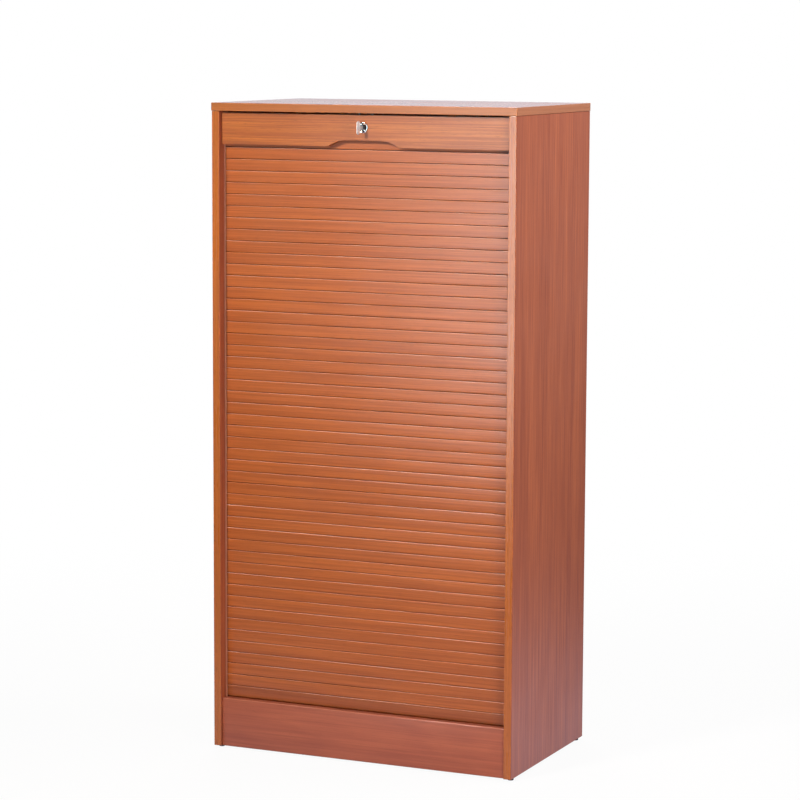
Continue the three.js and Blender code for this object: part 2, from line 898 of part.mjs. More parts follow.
// The key, drawn in Y and Z: blade, shank and a rounded bow with its ring hole
function key() {
  const blade = key_blade_height / 2;
  const bow = key_bow_height / 2;
  const r = key_bow_corner;
  const tip = plug_back - seat_gap - key_tip_gap;
  const neck = key_front + key_bow_depth;
  const shape = new THREE.Shape();
  shape.moveTo(tip, key_tip_slope - blade);
  shape.lineTo(tip, blade - key_tip_slope);
  shape.lineTo(tip - key_tip_slope, blade);
  shape.lineTo(neck, blade);
  shape.lineTo(neck, bow - r);
  shape.absarc(neck - r, bow - r, r, 0, Math.PI / 2, false);
  shape.absarc(key_front + r, bow - r, r, Math.PI / 2, Math.PI, false);
  shape.absarc(key_front + r, r - bow, r, Math.PI, 1.5 * Math.PI, false);
  shape.absarc(neck - r, r - bow, r, -Math.PI / 2, 0, false);
  shape.lineTo(neck, -blade);
  shape.lineTo(tip - key_tip_slope, -blade);
  const ring = new THREE.Path();
  ring.absarc(key_front + key_bow_depth / 2, 0, key_hole_radius, 0, 2 * Math.PI, true);
  shape.holes.push(ring);
  return carriedAcross(shape, key_thickness);
}

function lockGroup() {
  const group = new THREE.Group();
  group.position.set(0, bar_front, lock_level);
  group.add(piece("lock_housing", lockHousing(), bright_metal));
  group.add(piece("lock_plug", lockPlug(), bright_metal));
  group.add(piece("lock_cam", lockCam(), plain_steel));
  group.add(piece("lock_case", lockCase(), plain_steel));
  group.add(piece("lock_cover", lockCover(), plain_steel));
  group.add(piece("key", key(), bright_metal));
  for (const [side, mirror] of [["left", -1], ["right", 1]]) {
    const hook_mesh = piece(`lock_hook_${side}`, hook(), plain_steel);
    hook_mesh.scale.x = mirror;
    group.add(hook_mesh);
    const lock_screw = piece(`lock_screw_${side}`, screw(), plain_steel);
    lock_screw.rotation.x = Math.PI;
    group.add(placed(lock_screw, mirror * lock_screw_x, lock_screw_seat, lock_screw_rise));
  }
  return group;
}

// The whole cabinet, moved so that the origin is under the middle of its outline
const cabinet = new THREE.Group();
cabinet.name = "tambour_cabinet";
const outline_front = bar_front + key_front;
cabinet.position.y = -(outline_front + total_depth) / 2;
cabinet.add(carcassGroup());
cabinet.add(sideGroup("right", 1));
cabinet.add(sideGroup("left", -1));
cabinet.add(shelfGroup());
cabinet.add(curtainGroup());
cabinet.add(barGroup());
cabinet.add(lockGroup());

export default cabinet;
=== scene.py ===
"""Looks of the tambour door cabinet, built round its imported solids.

Each piece is a surface worked out with numpy, or a merged copy of its solid with
rounded edges, and carries a material made of nodes. Metres, +Z up, front at -Y.
"""

import math

import bmesh
import bpy
import numpy as np
from bpy.props import FloatProperty, FloatVectorProperty, IntProperty, PointerProperty
from bpy.types import Operator, Panel, PropertyGroup
from mathutils import Euler, Matrix, Vector


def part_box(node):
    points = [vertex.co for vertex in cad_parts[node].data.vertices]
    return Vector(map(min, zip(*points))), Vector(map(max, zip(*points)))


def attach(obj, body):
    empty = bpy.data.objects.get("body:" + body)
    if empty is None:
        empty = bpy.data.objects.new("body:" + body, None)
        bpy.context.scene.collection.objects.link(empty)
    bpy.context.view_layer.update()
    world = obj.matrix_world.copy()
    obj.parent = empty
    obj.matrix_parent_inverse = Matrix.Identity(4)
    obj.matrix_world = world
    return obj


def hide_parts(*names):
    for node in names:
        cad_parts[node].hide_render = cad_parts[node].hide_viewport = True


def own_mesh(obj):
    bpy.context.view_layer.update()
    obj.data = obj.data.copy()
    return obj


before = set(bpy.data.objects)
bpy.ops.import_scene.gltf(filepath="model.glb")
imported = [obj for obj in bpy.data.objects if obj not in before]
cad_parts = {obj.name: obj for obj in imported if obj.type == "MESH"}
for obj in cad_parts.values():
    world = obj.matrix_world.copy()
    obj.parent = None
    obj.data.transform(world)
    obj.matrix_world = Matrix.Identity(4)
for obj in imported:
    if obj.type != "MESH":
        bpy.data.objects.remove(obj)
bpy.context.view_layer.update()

bl_info = {
    "name": "Tambour door cabinet",
    "version": (1, 0, 0),
    "blender": (4, 5, 0),
    "location": "3D View > Sidebar > Cabinet",
    "description": "Builds the pieces, finishes and stage of a tambour door cabinet",
    "category": "Add Mesh",
}

X, Y, Z = range(3)
SIDES = ("left", "right")
ENDS = ("front", "rear")
GAP = 0.0003  # left between a piece and the board that it stands on


def length(name, description, default, smallest=0.0):
    """A size in metres that the sidebar shows with its unit."""
    return FloatProperty(
        name=name, description=description, default=default, min=smallest,
        precision=5, unit="LENGTH", subtype="DISTANCE",
    )


def colour(name, description, default):
    """A colour that is used as the base of a finish."""
    return FloatVectorProperty(
        name=name, description=description, default=default, min=0, max=1, size=3, subtype="COLOR"
    )


def number(name, description, default, smallest=0.0, largest=1.0):
    """A plain number without a unit."""
    return FloatProperty(name=name, description=description, default=default, min=smallest, max=largest)


def angle(name, description, default):
    """An angle that the sidebar shows in degrees."""
    return FloatProperty(
        name=name, description=description, default=default, unit="ROTATION", subtype="ANGLE"
    )


def power(name, description, default):
    """The power of a lamp in watts."""
    return FloatProperty(name=name, description=description, default=default, min=0, unit="POWER")


class CabinetBoards(PropertyGroup):
    """Sizes and colours of the boards, the plinth, the bar and the backs."""

    edge_round: length("Edge round", "Radius of a banded board edge", 0.0009)
    raw_round: length("Raw edge round", "Radius of an edge that is only sawn", 0.0003)
    plinth_round: length("Plinth round", "Radius of the long top edges of the plinth", 0.0013)
    face_colour: colour("Face", "Cherry foil on the faces of the boards", (0.525, 0.132, 0.060))
    face_dark: colour("Face streaks", "Dark streaks in the cherry foil", (0.375, 0.086, 0.043))
    side_colour: colour("Side", "Cherry foil on the side panels", (0.58, 0.157, 0.0613))
    side_dark: colour("Side streaks", "Dark streaks in the foil of the side panels", (0.356, 0.0845, 0.0403))
    band_colour: colour("Band", "Edge band on the fronts of the boards", (0.588, 0.164, 0.027))
    band_dark: colour("Band streaks", "Dark streaks in the edge band", (0.475, 0.123, 0.019))
    bar_colour: colour("Bar", "Cherry foil on the lock bar", (0.632, 0.189, 0.0334))
    bar_dark: colour("Bar streaks", "Dark streaks in the foil of the lock bar", (0.404, 0.0997, 0.0176))
    # A painted highlight: a pale colour for the light caught by the plinth's rounded top edge.
    edge_colour: colour("Worn edge", "Foil stretched round the top edge of the plinth", (0.62, 0.27, 0.19))
    chip_colour: colour("Chips", "Sawn particle board", (0.48, 0.33, 0.19))
    hardboard_colour: colour("Hardboard", "Painted hardboard of the two backs", (0.36, 0.18, 0.105))


class CurtainSlats(PropertyGroup):
    """Sizes and colours of the slats and their tracks."""

    joint: length("Joint", "Width of the groove between two slats", 0.0012)
    groove: length("Groove", "Depth of the groove between two slats", 0.0034)
    top_round: length("Top round", "Radius along the upper edge of a slat", 0.0008)
    bottom_round: length("Bottom round", "Radius along the lower edge of a slat", 0.0004)
    crown: length("Crown", "How much lower a slat's edges lie than its middle", 0.00022)
    steps: IntProperty(name="Steps", description="Points round one edge of a slat", default=5, min=2, max=12)
    pitch: length("Pitch", "Height of one slat with its joint", 0.0231, 0.005)
    slat_colour: colour("Slat", "Cherry foil on the slats", (0.568, 0.144, 0.0254))
    slat_dark: colour("Slat streaks", "Dark streaks in the foil of the slats", (0.406, 0.0913, 0.0142))
    # The slat edge colour is a painted highlight: pale pink on the rounded upper edge of each slat.
    edge_colour: colour("Slat edge", "Foil stretched round the upper edge of a slat", (1.0, 0.52, 0.39))
    # Partly the backing sheet's own colour, partly painted shade on the groove walls between the slats.
    groove_colour: colour("Groove colour", "Backing sheet in the grooves", (0.19, 0.042, 0.015))
    # Lighter than the brown plastic: painted light on the lip of the track, which lies in shade in the
    # reveal.
    track_colour: colour("Track", "Brown plastic of the tracks", (0.80, 0.34, 0.20))
    tail_level: length("Fold level", "Height to which the curtain draws in as it opens", 0.06)


class LockFittings(PropertyGroup):
    """Sizes and finishes of the lock, the key and the small fittings."""

    ring_round: length("Ring round", "Radius of the rounded rim of the rosette", 0.0013)
    dish: length("Dish", "Depth of the dished ring round the plug", 0.0013)
    key_bevel: length("Key bevel", "Radius along the edges of the key", 0.0009)
    recess: length("Screw recess", "Depth of the cross in a screw head", 0.0008)
    recess_width: length("Cross width", "Width of the arms of the cross in a screw head", 0.0008)
    chrome_roughness: number("Chrome roughness", "Roughness of the polished lock and key", 0.06)
    zinc_roughness: number("Zinc roughness", "Roughness of the plated steel", 0.34)


class StudioStage(PropertyGroup):
    """Camera, lamps, floor and surroundings."""

    lens: FloatProperty(
        name="Lens", description="Focal length on a sensor 36 mm wide", default=130.5, min=20, unit="CAMERA"
    )
    yaw: angle("Yaw", "How far the camera is turned to the left", 0.42448)
    pitch: angle("Pitch", "How far the camera looks down", 0.12882)
    roll: angle("Roll", "How far the camera leans", -0.00425)
    key_power: power("Key light", "Lamp at the upper left in front", 16.5)
    side_power: power("Side light", "Lamp high on the right, aimed at the top of the side panel", 11.5)
    sheen_power: power("Sheen light", "Cool panel at the left in front, which shows only as gloss", 21.5)
    front_power: power("Front light", "Soft lamp at the right in front", 25)
    back_power: power("Back light", "Lamp behind, which lights the back", 45)
    room: number("Room", "Strength of the even light from all sides", 0.13, 0, 4)
    floor_share: number("Floor shading", "How much of the lit floor shows under the white", 0.06)


class Finish:
    """The nodes of a material or of the room, and short words for adding them."""

    def __init__(self, owner, output="ShaderNodeOutputMaterial"):
        owner.use_nodes = True
        self.owner, self.tree = owner, owner.node_tree
        self.tree.nodes.clear()
        self.output = self.add(output)
        self.coordinates = self.add("ShaderNodeTexCoord").outputs

    def add(self, kind, **values):
        """Adds a node and sets its own values."""
        node = self.tree.nodes.new(kind)
        for key, value in values.items():
            setattr(node, key, value)
        return node

    def put(self, node, **values):
        """Sets or links sockets by name, with _ for a space."""
        for key, value in values.items():
            self.feed(node.inputs[key.replace("_", " ")], value)
        return node

    def feed(self, socket, value):
        """Links a socket when the value is one, and sets it otherwise."""
        if isinstance(value, bpy.types.NodeSocket):
            self.tree.links.new(value, socket)
        else:
            socket.default_value = value

    def sum(self, operation, first, second=0.0, third=0.0, clamp=False):
        """One step of arithmetic on numbers."""
        node = self.add("ShaderNodeMath", operation=operation, use_clamp=clamp)
        for socket, value in zip(node.inputs, (first, second, third)):
            self.feed(socket, value)
        return node.outputs[0]

    def spread(self, value, low, high, new_low=0.0, new_high=1.0, smooth=True):
        """Maps one range of numbers to another."""
        kind = "SMOOTHSTEP" if smooth else "LINEAR"
        node = self.add("ShaderNodeMapRange", interpolation_type=kind)
        for socket, part in zip(node.inputs, (value, low, high, new_low, new_high)):
            self.feed(socket, part)
        return node.outputs[0]

    def stretched(self, scale, place=(0, 0, 0), source=None):
        """Object coordinates, stretched by one scale or by one for each axis, and moved."""
        scale = scale if isinstance(scale, tuple) else (scale,) * 3
        node = self.add("ShaderNodeMapping", vector_type="POINT")
        self.put(node, Vector=source or self.coordinates["Object"], Location=place, Scale=scale)
        return node.outputs[0]

    def cloud(self, place, scale=1.0, detail=2.0, roughness=0.5):
        """Noise between 0 and 1."""
        node = self.add("ShaderNodeTexNoise", noise_dimensions="3D")
        self.put(node, Vector=place, Scale=scale, Detail=detail, Roughness=roughness)
        return node.outputs["Fac"]

    def grain(self, axis, along, across, detail=2.0, roughness=0.5, place=(0, 0, 0), source=None):
        """Noise drawn out along an axis, from its scales per metre along and across that axis."""
        scale = tuple(along if i == axis else across for i in range(3))
        return self.cloud(self.stretched(scale, place, source), detail=detail, roughness=roughness)

    def cells(self, place, scale):
        """Voronoi cells: distance, and the three parts of a colour for each cell."""
        node = self.add("ShaderNodeTexVoronoi")
        self.put(node, Vector=place, Scale=scale)
        parts = self.add("ShaderNodeSeparateColor")
        self.put(parts, Color=node.outputs["Color"])
        return node.outputs["Distance"], parts.outputs

    def blend(self, share, first, second):
        """Mixes two colours."""
        node = self.add("ShaderNodeMix", data_type="RGBA")
        self.feed(node.inputs[0], share)
        self.feed(node.inputs[6], self.paint(first))
        self.feed(node.inputs[7], self.paint(second))
        return node.outputs[2]

    @staticmethod
    def paint(value):
        """Gives a plain colour its fourth number."""
        return value if isinstance(value, bpy.types.NodeSocket) else (*value, 1.0)

    def relief(self, height, distance, strength):
        """A bump from a height."""
        node = self.add("ShaderNodeBump")
        self.put(node, Strength=strength, Distance=distance, Height=height)
        return node.outputs[0]

    def mixed(self, share, first, second):
        """Mixes two shaders."""
        node = self.add("ShaderNodeMixShader")
        for socket, value in zip(node.inputs, (share, first.outputs[0], second.outputs[0])):
            self.feed(socket, value)
        return node

    def show(self, shader):
        """Joins a shader to the output."""
        self.tree.links.new(shader.outputs[0], self.output.inputs["Surface"])
        return self.owner

    def surface(self, **values):
        """The shader of an opaque surface, joined to the output."""
        return self.show(self.put(self.add("ShaderNodeBsdfPrincipled"), **values))


def new_finish(name):
    """A material without nodes, ready to be filled."""
    return Finish(bpy.data.materials.new(name))


def shaded(tone, *factors):
    """A colour scaled by one factor, or by one for each of its three parts."""
    factors = factors if len(factors) == 3 else factors * 3
    return tuple(min(1.0, part * factor) for part, factor in zip(tone, factors))


def cherry_foil(
    name, light, dark, axis, roughness, figure, shift, slat_pitch=0.0, relief=0.35,
    fineness=1.0, depth=1.0, broad=1.0,
):
    """Printed cherry foil: broad soft bands, fine streaks and short pores along the grain.

    Each pattern adds to the share of the dark colour: bands by broad, streaks by depth
    and the rings of the figure by figure. Fineness narrows the streaks. Where slat_pitch
    is given, each slat gets its own slight tone and its own grain.
    """
    finish = new_finish(name)
    place = (shift, shift * 0.7, shift * 1.3)
    source, tone = finish.coordinates["Object"], None
    if slat_pitch:
        parts = finish.put(finish.add("ShaderNodeSeparateXYZ"), Vector=source).outputs
        row = finish.sum("FLOOR", finish.sum("DIVIDE", parts[Z], slat_pitch))
        pick = finish.add("ShaderNodeTexWhiteNoise", noise_dimensions="1D")
        tone = finish.put(pick, W=row).outputs["Value"]
        along = finish.sum("MULTIPLY_ADD", tone, 1.7, parts[X])
        moved = finish.add("ShaderNodeCombineXYZ")
        source = finish.put(moved, X=along, Y=parts[Y], Z=parts[Z]).outputs[0]

    def grain(along, across, detail, rough):
        """Noise drawn out along the grain of this foil."""
        return finish.grain(axis, along, across, detail, rough, place, source)

    bands = finish.spread(grain(0.9, 30, 3, 0.55), 0.32, 0.68)
    lines = finish.spread(grain(2.2, 125 * fineness, 2, 0.6), 0.38, 0.62)
    streaks = finish.spread(grain(7, 330, 3, 0.6), 0.3, 0.7)
    pores = finish.spread(grain(55, 1500, 2, 0.5), 0.60, 0.72)
    rings = finish.sum("SINE", finish.sum("MULTIPLY", grain(2.2, 9, 2, 0.45), 62.0))
    rings = finish.spread(rings, -1.0, 1.0)
    band_share = 0.4 - 0.3 * figure
    steady = 0.5 * band_share * (1 - broad) - 0.08
    share = finish.sum("MULTIPLY_ADD", bands, band_share * broad, steady)
    for pattern, weight in ((lines, 0.42 * depth), (streaks, 0.46 * depth), (rings, 0.36 * figure)):
        share = finish.sum("MULTIPLY_ADD", pattern, weight, share)
    if tone:
        share = finish.sum("MULTIPLY_ADD", finish.sum("SUBTRACT", tone, 0.5), 0.09, share)
    base = finish.blend(finish.sum("MAXIMUM", share, 0.0, clamp=True), light, dark)
    pore_tone = finish.sum("MULTIPLY", pores, 0.30 * depth * depth)
    base = finish.blend(pore_tone, base, shaded(dark, 0.42))
    dust = finish.cloud(finish.stretched(3, place), scale=2.0, detail=4, roughness=0.6)
    gloss = finish.spread(dust, 0.3, 0.75, roughness - 0.02, roughness + 0.03)
    gloss = finish.sum("MULTIPLY_ADD", streaks, 0.04, gloss)
    bump = {}
    if relief:
        height = finish.sum("MULTIPLY_ADD", pores, -0.8, streaks)
        bump["Normal"] = finish.relief(height, 0.00003, relief)
    return finish.surface(Base_Color=base, Roughness=gloss, **bump)


def particle_board(name, chips):
    """Sawn particle board: small chips of several tones with dark gaps."""
    finish = new_finish(name)
    place = finish.stretched(1)
    near, tone = finish.cells(place, 420)
    _, broad = finish.cells(place, 150)
    share = finish.sum("MULTIPLY_ADD", tone[0], 0.6, finish.sum("MULTIPLY", broad[0], 0.4))
    base = finish.blend(share, shaded(chips, 0.55), shaded(chips, 1.25))
    gaps = finish.spread(near, 0.42, 0.75)
    base = finish.blend(finish.sum("MULTIPLY", gaps, 0.55), base, shaded(chips, 0.28))
    height = finish.sum("MULTIPLY_ADD", gaps, -1.0, share)
    return finish.surface(Base_Color=base, Roughness=0.85, Normal=finish.relief(height, 0.00015, 0.8))


def hardboard(name, paint):
    """Painted hardboard: a faint print of grain over pressed fibres."""
    finish = new_finish(name)
    fibres = finish.cloud(finish.stretched(260), detail=4, roughness=0.7)
    printed = finish.grain(Z, 5, 160, 3, 0.6)
    clouds = finish.cloud(finish.stretched(4), detail=3)
    share = finish.sum("MULTIPLY", clouds, 0.35)
    share = finish.sum("MULTIPLY_ADD", finish.spread(printed, 0.3, 0.7), 0.55, share)
    base = finish.blend(share, paint, shaded(paint, 0.62))
    fleck = finish.spread(fibres, 0.58, 0.7)
    base = finish.blend(finish.sum("MULTIPLY", fleck, 0.25), base, shaded(paint, 0.5))
    rough = finish.spread(fibres, 0.3, 0.7, 0.62, 0.78)
    return finish.surface(Base_Color=base, Roughness=rough, Normal=finish.relief(fibres, 0.00008, 0.5))


def moulded_plastic(name, tone, roughness, axis=None, scuff=0.25, specular=0.5):
    """Plastic with a fine spark-eroded grain, drawn out along an axis where it was extruded."""
    finish = new_finish(name)
    grain = finish.grain(axis, 14, 1900 if axis is None else 900, 2, 0.6)
    wear = finish.cloud(finish.stretched(45), detail=5, roughness=0.7)
    worn = finish.spread(wear, 0.52, 0.75)
    pale = tuple(min(1, 1.9 * part + 0.02) for part in tone)
    base = finish.blend(finish.sum("MULTIPLY", worn, scuff), tone, pale)
    base = finish.blend(finish.sum("MULTIPLY", finish.spread(grain, 0.35, 0.7), 0.2), base, shaded(tone, 0.7))
    rough = finish.sum("MULTIPLY_ADD", worn, 0.14, roughness)
    bumps = finish.relief(grain, 0.00004, 0.5)
    return finish.surface(Base_Color=base, Roughness=rough, Specular_IOR_Level=specular, Normal=bumps)


def plated_steel(name, tint, roughness, scratch_axis=X):
    """Zinc plated steel: cloudy crystals, rolling lines and a slightly yellow cast."""
    finish = new_finish(name)
    clouds = finish.cloud(finish.stretched(140), detail=4, roughness=0.6)
    lines = finish.grain(scratch_axis, 25, 1600)
    base = finish.blend(finish.spread(clouds, 0.35, 0.68), tint, shaded(tint, 0.72))
    yellow = finish.sum("MULTIPLY", finish.spread(clouds, 0.6, 0.75), 0.25)
    base = finish.blend(yellow, base, (0.62, 0.53, 0.34))
    rough = finish.sum("MULTIPLY_ADD", finish.spread(clouds, 0.3, 0.7), 0.14, roughness - 0.05)
    rough = finish.sum("MULTIPLY_ADD", lines, 0.08, rough)
    bumps = finish.relief(lines, 0.00002, 0.35)
    return finish.surface(Base_Color=base, Metallic=1.0, Roughness=rough, Normal=bumps)


# The default tint is warm to offset the cool sheen lamp in the reflections: a painted tint on the reflection.
def polished_chrome(name, roughness, scratch_axis=Z, tint=(0.92, 0.79, 0.74), metallic=1.0):
    """Polished metal with fine hairlines and finger marks that darken it a little."""
    finish = new_finish(name)
    hair = finish.grain(scratch_axis, 60, 2600, 2, 0.6)
    marks = finish.cloud(finish.stretched(170), detail=4, roughness=0.65)
    base = finish.blend(finish.spread(marks, 0.4, 0.75), tint, shaded(tint, 0.79))
    rough = finish.spread(marks, 0.35, 0.75, roughness - 0.02, roughness + 0.06)
    rough = finish.sum("MULTIPLY_ADD", finish.spread(hair, 0.45, 0.7), 0.05, rough)
    bumps = finish.relief(hair, 0.000008, 0.3)
    return finish.surface(Base_Color=base, Metallic=metallic, Roughness=rough, Normal=bumps)


FINISHES = {}


def prepare_finishes(scene):
    """Makes the materials from the groups of values.

    The bands at the ends of the boards are bluer than those in front, a painted sheen, and the lowest
    slat is darker than the others, a painted shade, as in the photograph.
    """
    boards, slats, lock = scene.cabinet_boards, scene.curtain_slats, scene.lock_fittings
    face, face_dark = tuple(boards.face_colour), tuple(boards.face_dark)
    side, side_dark = tuple(boards.side_colour), tuple(boards.side_dark)
    band, band_dark = tuple(boards.band_colour), tuple(boards.band_dark)
    bar, bar_dark = tuple(boards.bar_colour), tuple(boards.bar_dark)
    slat, slat_dark = tuple(slats.slat_colour), tuple(slats.slat_dark)
    # across: a less red tint for the bands that run across, a painted sheen; lowest: a darker tint for the
    # lowest slat, a painted shade.
    across, lowest = (0.9, 0.97, 1.0), (0.76, 0.74, 0.85)
    # Painted shade: a darker copy of the face colours for the flat top of the plinth.
    under = shaded(face, 0.9), shaded(face_dark, 0.9)
    # Painted sheen: a bluer copy of the band colours for the ends of the boards and of the bar.
    deep = shaded(band, 0.95, 1.25, 3.4), shaded(band_dark, 0.9, 1.2, 3.2)
    printed = {"figure": 0.05, "shift": 4.4, "slat_pitch": slats.pitch, "fineness": 2.6, "depth": 1.1}
    FINISHES.update(
        face_upright=cherry_foil(
            "cherry_face_upright", side, side_dark, Z, 0.42, 0.15, 3.1, fineness=1.9, depth=0.95
        ),
        face_across=cherry_foil("cherry_face_across", face, face_dark, X, 0.42, 0.55, 7.7, depth=0.85),
        # Painted shade: the top face takes the face colour darkened by 0.85.
        face_top=cherry_foil(
            "cherry_face_top", shaded(face, 0.85), face_dark, X, 0.25, 0.25, 6.1, relief=0.0, depth=0.6
        ),
        # Painted shade on the flat top of the plinth.
        face_under=cherry_foil("cherry_face_under", *under, X, 0.5, 0.3, 4.9),
        # Painted highlight on the rounded top edge of the plinth.
        face_edge=cherry_foil("cherry_face_edge", tuple(boards.edge_colour), face, X, 0.24, 0.2, 3.7),
        band_upright=cherry_foil("cherry_band_upright", band, band_dark, Z, 0.26, 0.1, 1.9, depth=1.5),
        # Painted sheen: a less red copy of the band colours for the bands that run across.
        band_across=cherry_foil(
            "cherry_band_across", shaded(band, *across), shaded(band_dark, *across), X, 0.32, 0.1, 5.3
        ),
        # Painted sheen on the bands at the ends of the boards.
        band_deep=cherry_foil("cherry_band_deep", *deep, Y, 0.38, 0.1, 2.3),
        bar=cherry_foil(
            "cherry_bar", bar, bar_dark, X, 0.32, 0.08, 9.2, fineness=2.7, depth=1.35, broad=0.35
        ),
        slat=cherry_foil("cherry_slats", slat, slat_dark, X, 0.30, broad=0.5, **printed),
        # Painted shade: a darker copy of the slat colours for the lowest slat above the plinth.
        slat_low=cherry_foil(
            "cherry_lowest_slat", shaded(slat, *lowest), shaded(slat_dark, *lowest), X, 0.34, **printed
        ),
        slat_lead=cherry_foil("cherry_leading_slat", slat, slat_dark, X, 0.5, **printed),
        # Painted highlight on the rounded upper edges of the slats.
        slat_edge=cherry_foil("cherry_slat_edge", tuple(slats.edge_colour), slat, X, 0.34, 0.2, 8.3),
        # Dark grooves: the backing sheet, with painted shade on the groove walls; the tail behind the plinth
        # takes it as painted shade.
        slat_gap=moulded_plastic(
            "slat_backing_sheet", tuple(slats.groove_colour), 0.8, X, 0.3, specular=0.1
        ),
        chips=particle_board("sawn_particle_board", tuple(boards.chip_colour)),
        hardboard=hardboard("painted_hardboard", tuple(boards.hardboard_colour)),
        # The track colour carries painted light on its lip.
        track=moulded_plastic("track_plastic_brown", tuple(slats.track_colour), 0.5, Z, 0.15),
        black=moulded_plastic("black_nylon", (0.012, 0.012, 0.013), 0.45),
        zinc=plated_steel("zinc_plated_steel", (0.60, 0.60, 0.59), lock.zinc_roughness),
        # Painted shade: a dark tint that dims the hooks' reflections in the gap above the bar.
        dark_steel=plated_steel("oiled_steel", (0.22, 0.21, 0.20), lock.zinc_roughness, Z),
        # The chrome's warm tint is a painted tint that offsets the cool sheen lamp in its reflections.
        chrome=polished_chrome("polished_chrome", lock.chrome_roughness),
        # Painted reflection: a near black tint stands in for the dark surroundings seen in the plug's face.
        plug=polished_chrome("worn_plug_face", 0.22, X, (0.20, 0.19, 0.19)),
        nickel=polished_chrome("satin_nickel", 0.3, Y, (0.95, 0.95, 0.96), 0.3),
    )


def mesh_from(name, points, faces):
    """A mesh from arrays of points and lists of faces, with doubles merged and faces turned out."""
    mesh = bpy.data.meshes.new(name)
    mesh.from_pydata(np.asarray(points, float).reshape(-1, 3).tolist(), [], faces)
    shell = bmesh.new()
    shell.from_mesh(mesh)
    bmesh.ops.remove_doubles(shell, verts=shell.verts, dist=1e-6)
    bmesh.ops.dissolve_degenerate(shell, edges=shell.edges, dist=1e-7)
    bmesh.ops.recalc_face_normals(shell, faces=shell.faces)
    shell.to_mesh(mesh)
    shell.free()
    return mesh


def grid_faces(rows, columns, wrap_rows=False, wrap_columns=False, first=0):
    """Four-cornered faces between neighbours of a grid that is numbered row by row."""
    i = np.arange(rows if wrap_rows else rows - 1)
    j = np.arange(columns if wrap_columns else columns - 1)
    i, j = np.meshgrid(i, j, indexing="ij")
    a = i * columns + j
    b = i * columns + (j + 1) % columns
    c = ((i + 1) % rows) * columns + (j + 1) % columns
    d = ((i + 1) % rows) * columns + j
    return (np.stack([a, b, c, d], -1).reshape(-1, 4) + first).tolist()


def end_faces(rows, columns):
    """The two faces that close the first and the last row of a grid."""
    last = (rows - 1) * columns
    return [list(range(columns)), list(range(last, last + columns))]


def add_piece(name, mesh, body, finishes, replaces, smooth=30):
    """Links a mesh as a piece that rides on a body and stands for the node that it replaces."""
    piece = bpy.data.objects.new(name, mesh)
    bpy.context.scene.collection.objects.link(piece)
    for finish in finishes:
        mesh.materials.append(FINISHES[finish])
    if smooth:
        mesh.shade_smooth()
        mesh.set_sharp_from_angle(angle=math.radians(smooth))
    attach(piece, body)
    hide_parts(replaces)
    return piece


def finish_node(node, finish):
    """Gives a solid that is shown as it is a finish of its own."""
    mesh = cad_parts[node].data
    mesh.materials.clear()
    mesh.materials.append(FINISHES[finish])


def rounded_board(name, low, high, radius):
    """A board with rounded edges, on a grid of latitude and longitude.

    A point is the nearest corner of the board shrunk by the radius, plus the radius
    times the direction that the latitude and the longitude give.
    """
    low, high, steps = np.array(low), np.array(high), 3
    quarter = np.linspace(0, np.pi / 2, steps + 1)
    longitude = np.concatenate([quarter + k * np.pi / 2 for k in range(4)])
    east = np.repeat([1, -1, -1, 1], steps + 1)
    north = np.repeat([1, 1, -1, -1], steps + 1)
    latitude = np.concatenate([quarter - np.pi / 2, quarter])
    top = np.repeat([-1, 1], steps + 1)
    middle, half = (low + high) / 2, (high - low) / 2 - radius
    x = half[X] * east + radius * np.outer(np.cos(latitude), np.cos(longitude))
    y = half[Y] * north + radius * np.outer(np.cos(latitude), np.sin(longitude))
    z = (half[Z] * top + radius * np.sin(latitude))[:, None] + 0 * x
    points = middle + np.stack([x, y, z], -1)
    rows, columns = len(latitude), len(longitude)
    faces = grid_faces(rows, columns, wrap_columns=True) + end_faces(rows, columns)
    return mesh_from(name, points, faces)


def lathed(name, profile, centre, axis, sides):
    """A closed profile of radius and height, turned round an axis through the centre.

    The point at a turn t is the radius times cosine and sine of t across the axis, and
    the height along it. A profile that starts and ends on the axis closes on itself.
    """
    profile = np.array(profile)
    turn = np.linspace(0, 2 * np.pi, sides, endpoint=False)
    across = profile[:, :1] * np.cos(turn)
    beside = profile[:, :1] * np.sin(turn)
    along = profile[:, 1:] + 0 * across
    order = ((along, across, beside), (across, along, beside), (across, beside, along))[axis]
    points = np.stack(order, -1) + np.array(centre)
    closed = profile[0, 0] > 1e-6
    faces = grid_faces(len(profile), sides, wrap_rows=closed, wrap_columns=True)
    return mesh_from(name, points, faces)


def arc(centre, radius, start, stop, steps):
    """Points on an arc round a centre, between two angles in degrees."""
    turn = np.radians(np.linspace(start, stop, steps + 1))
    return np.stack([centre[0] + radius * np.cos(turn), centre[1] + radius * np.sin(turn)], -1).tolist()


def side_of(side):
    """The axis and the sign of a side such as "-Y", which is the front."""
    return "XYZ".index(side[1]), 1 if side[0] == "+" else -1


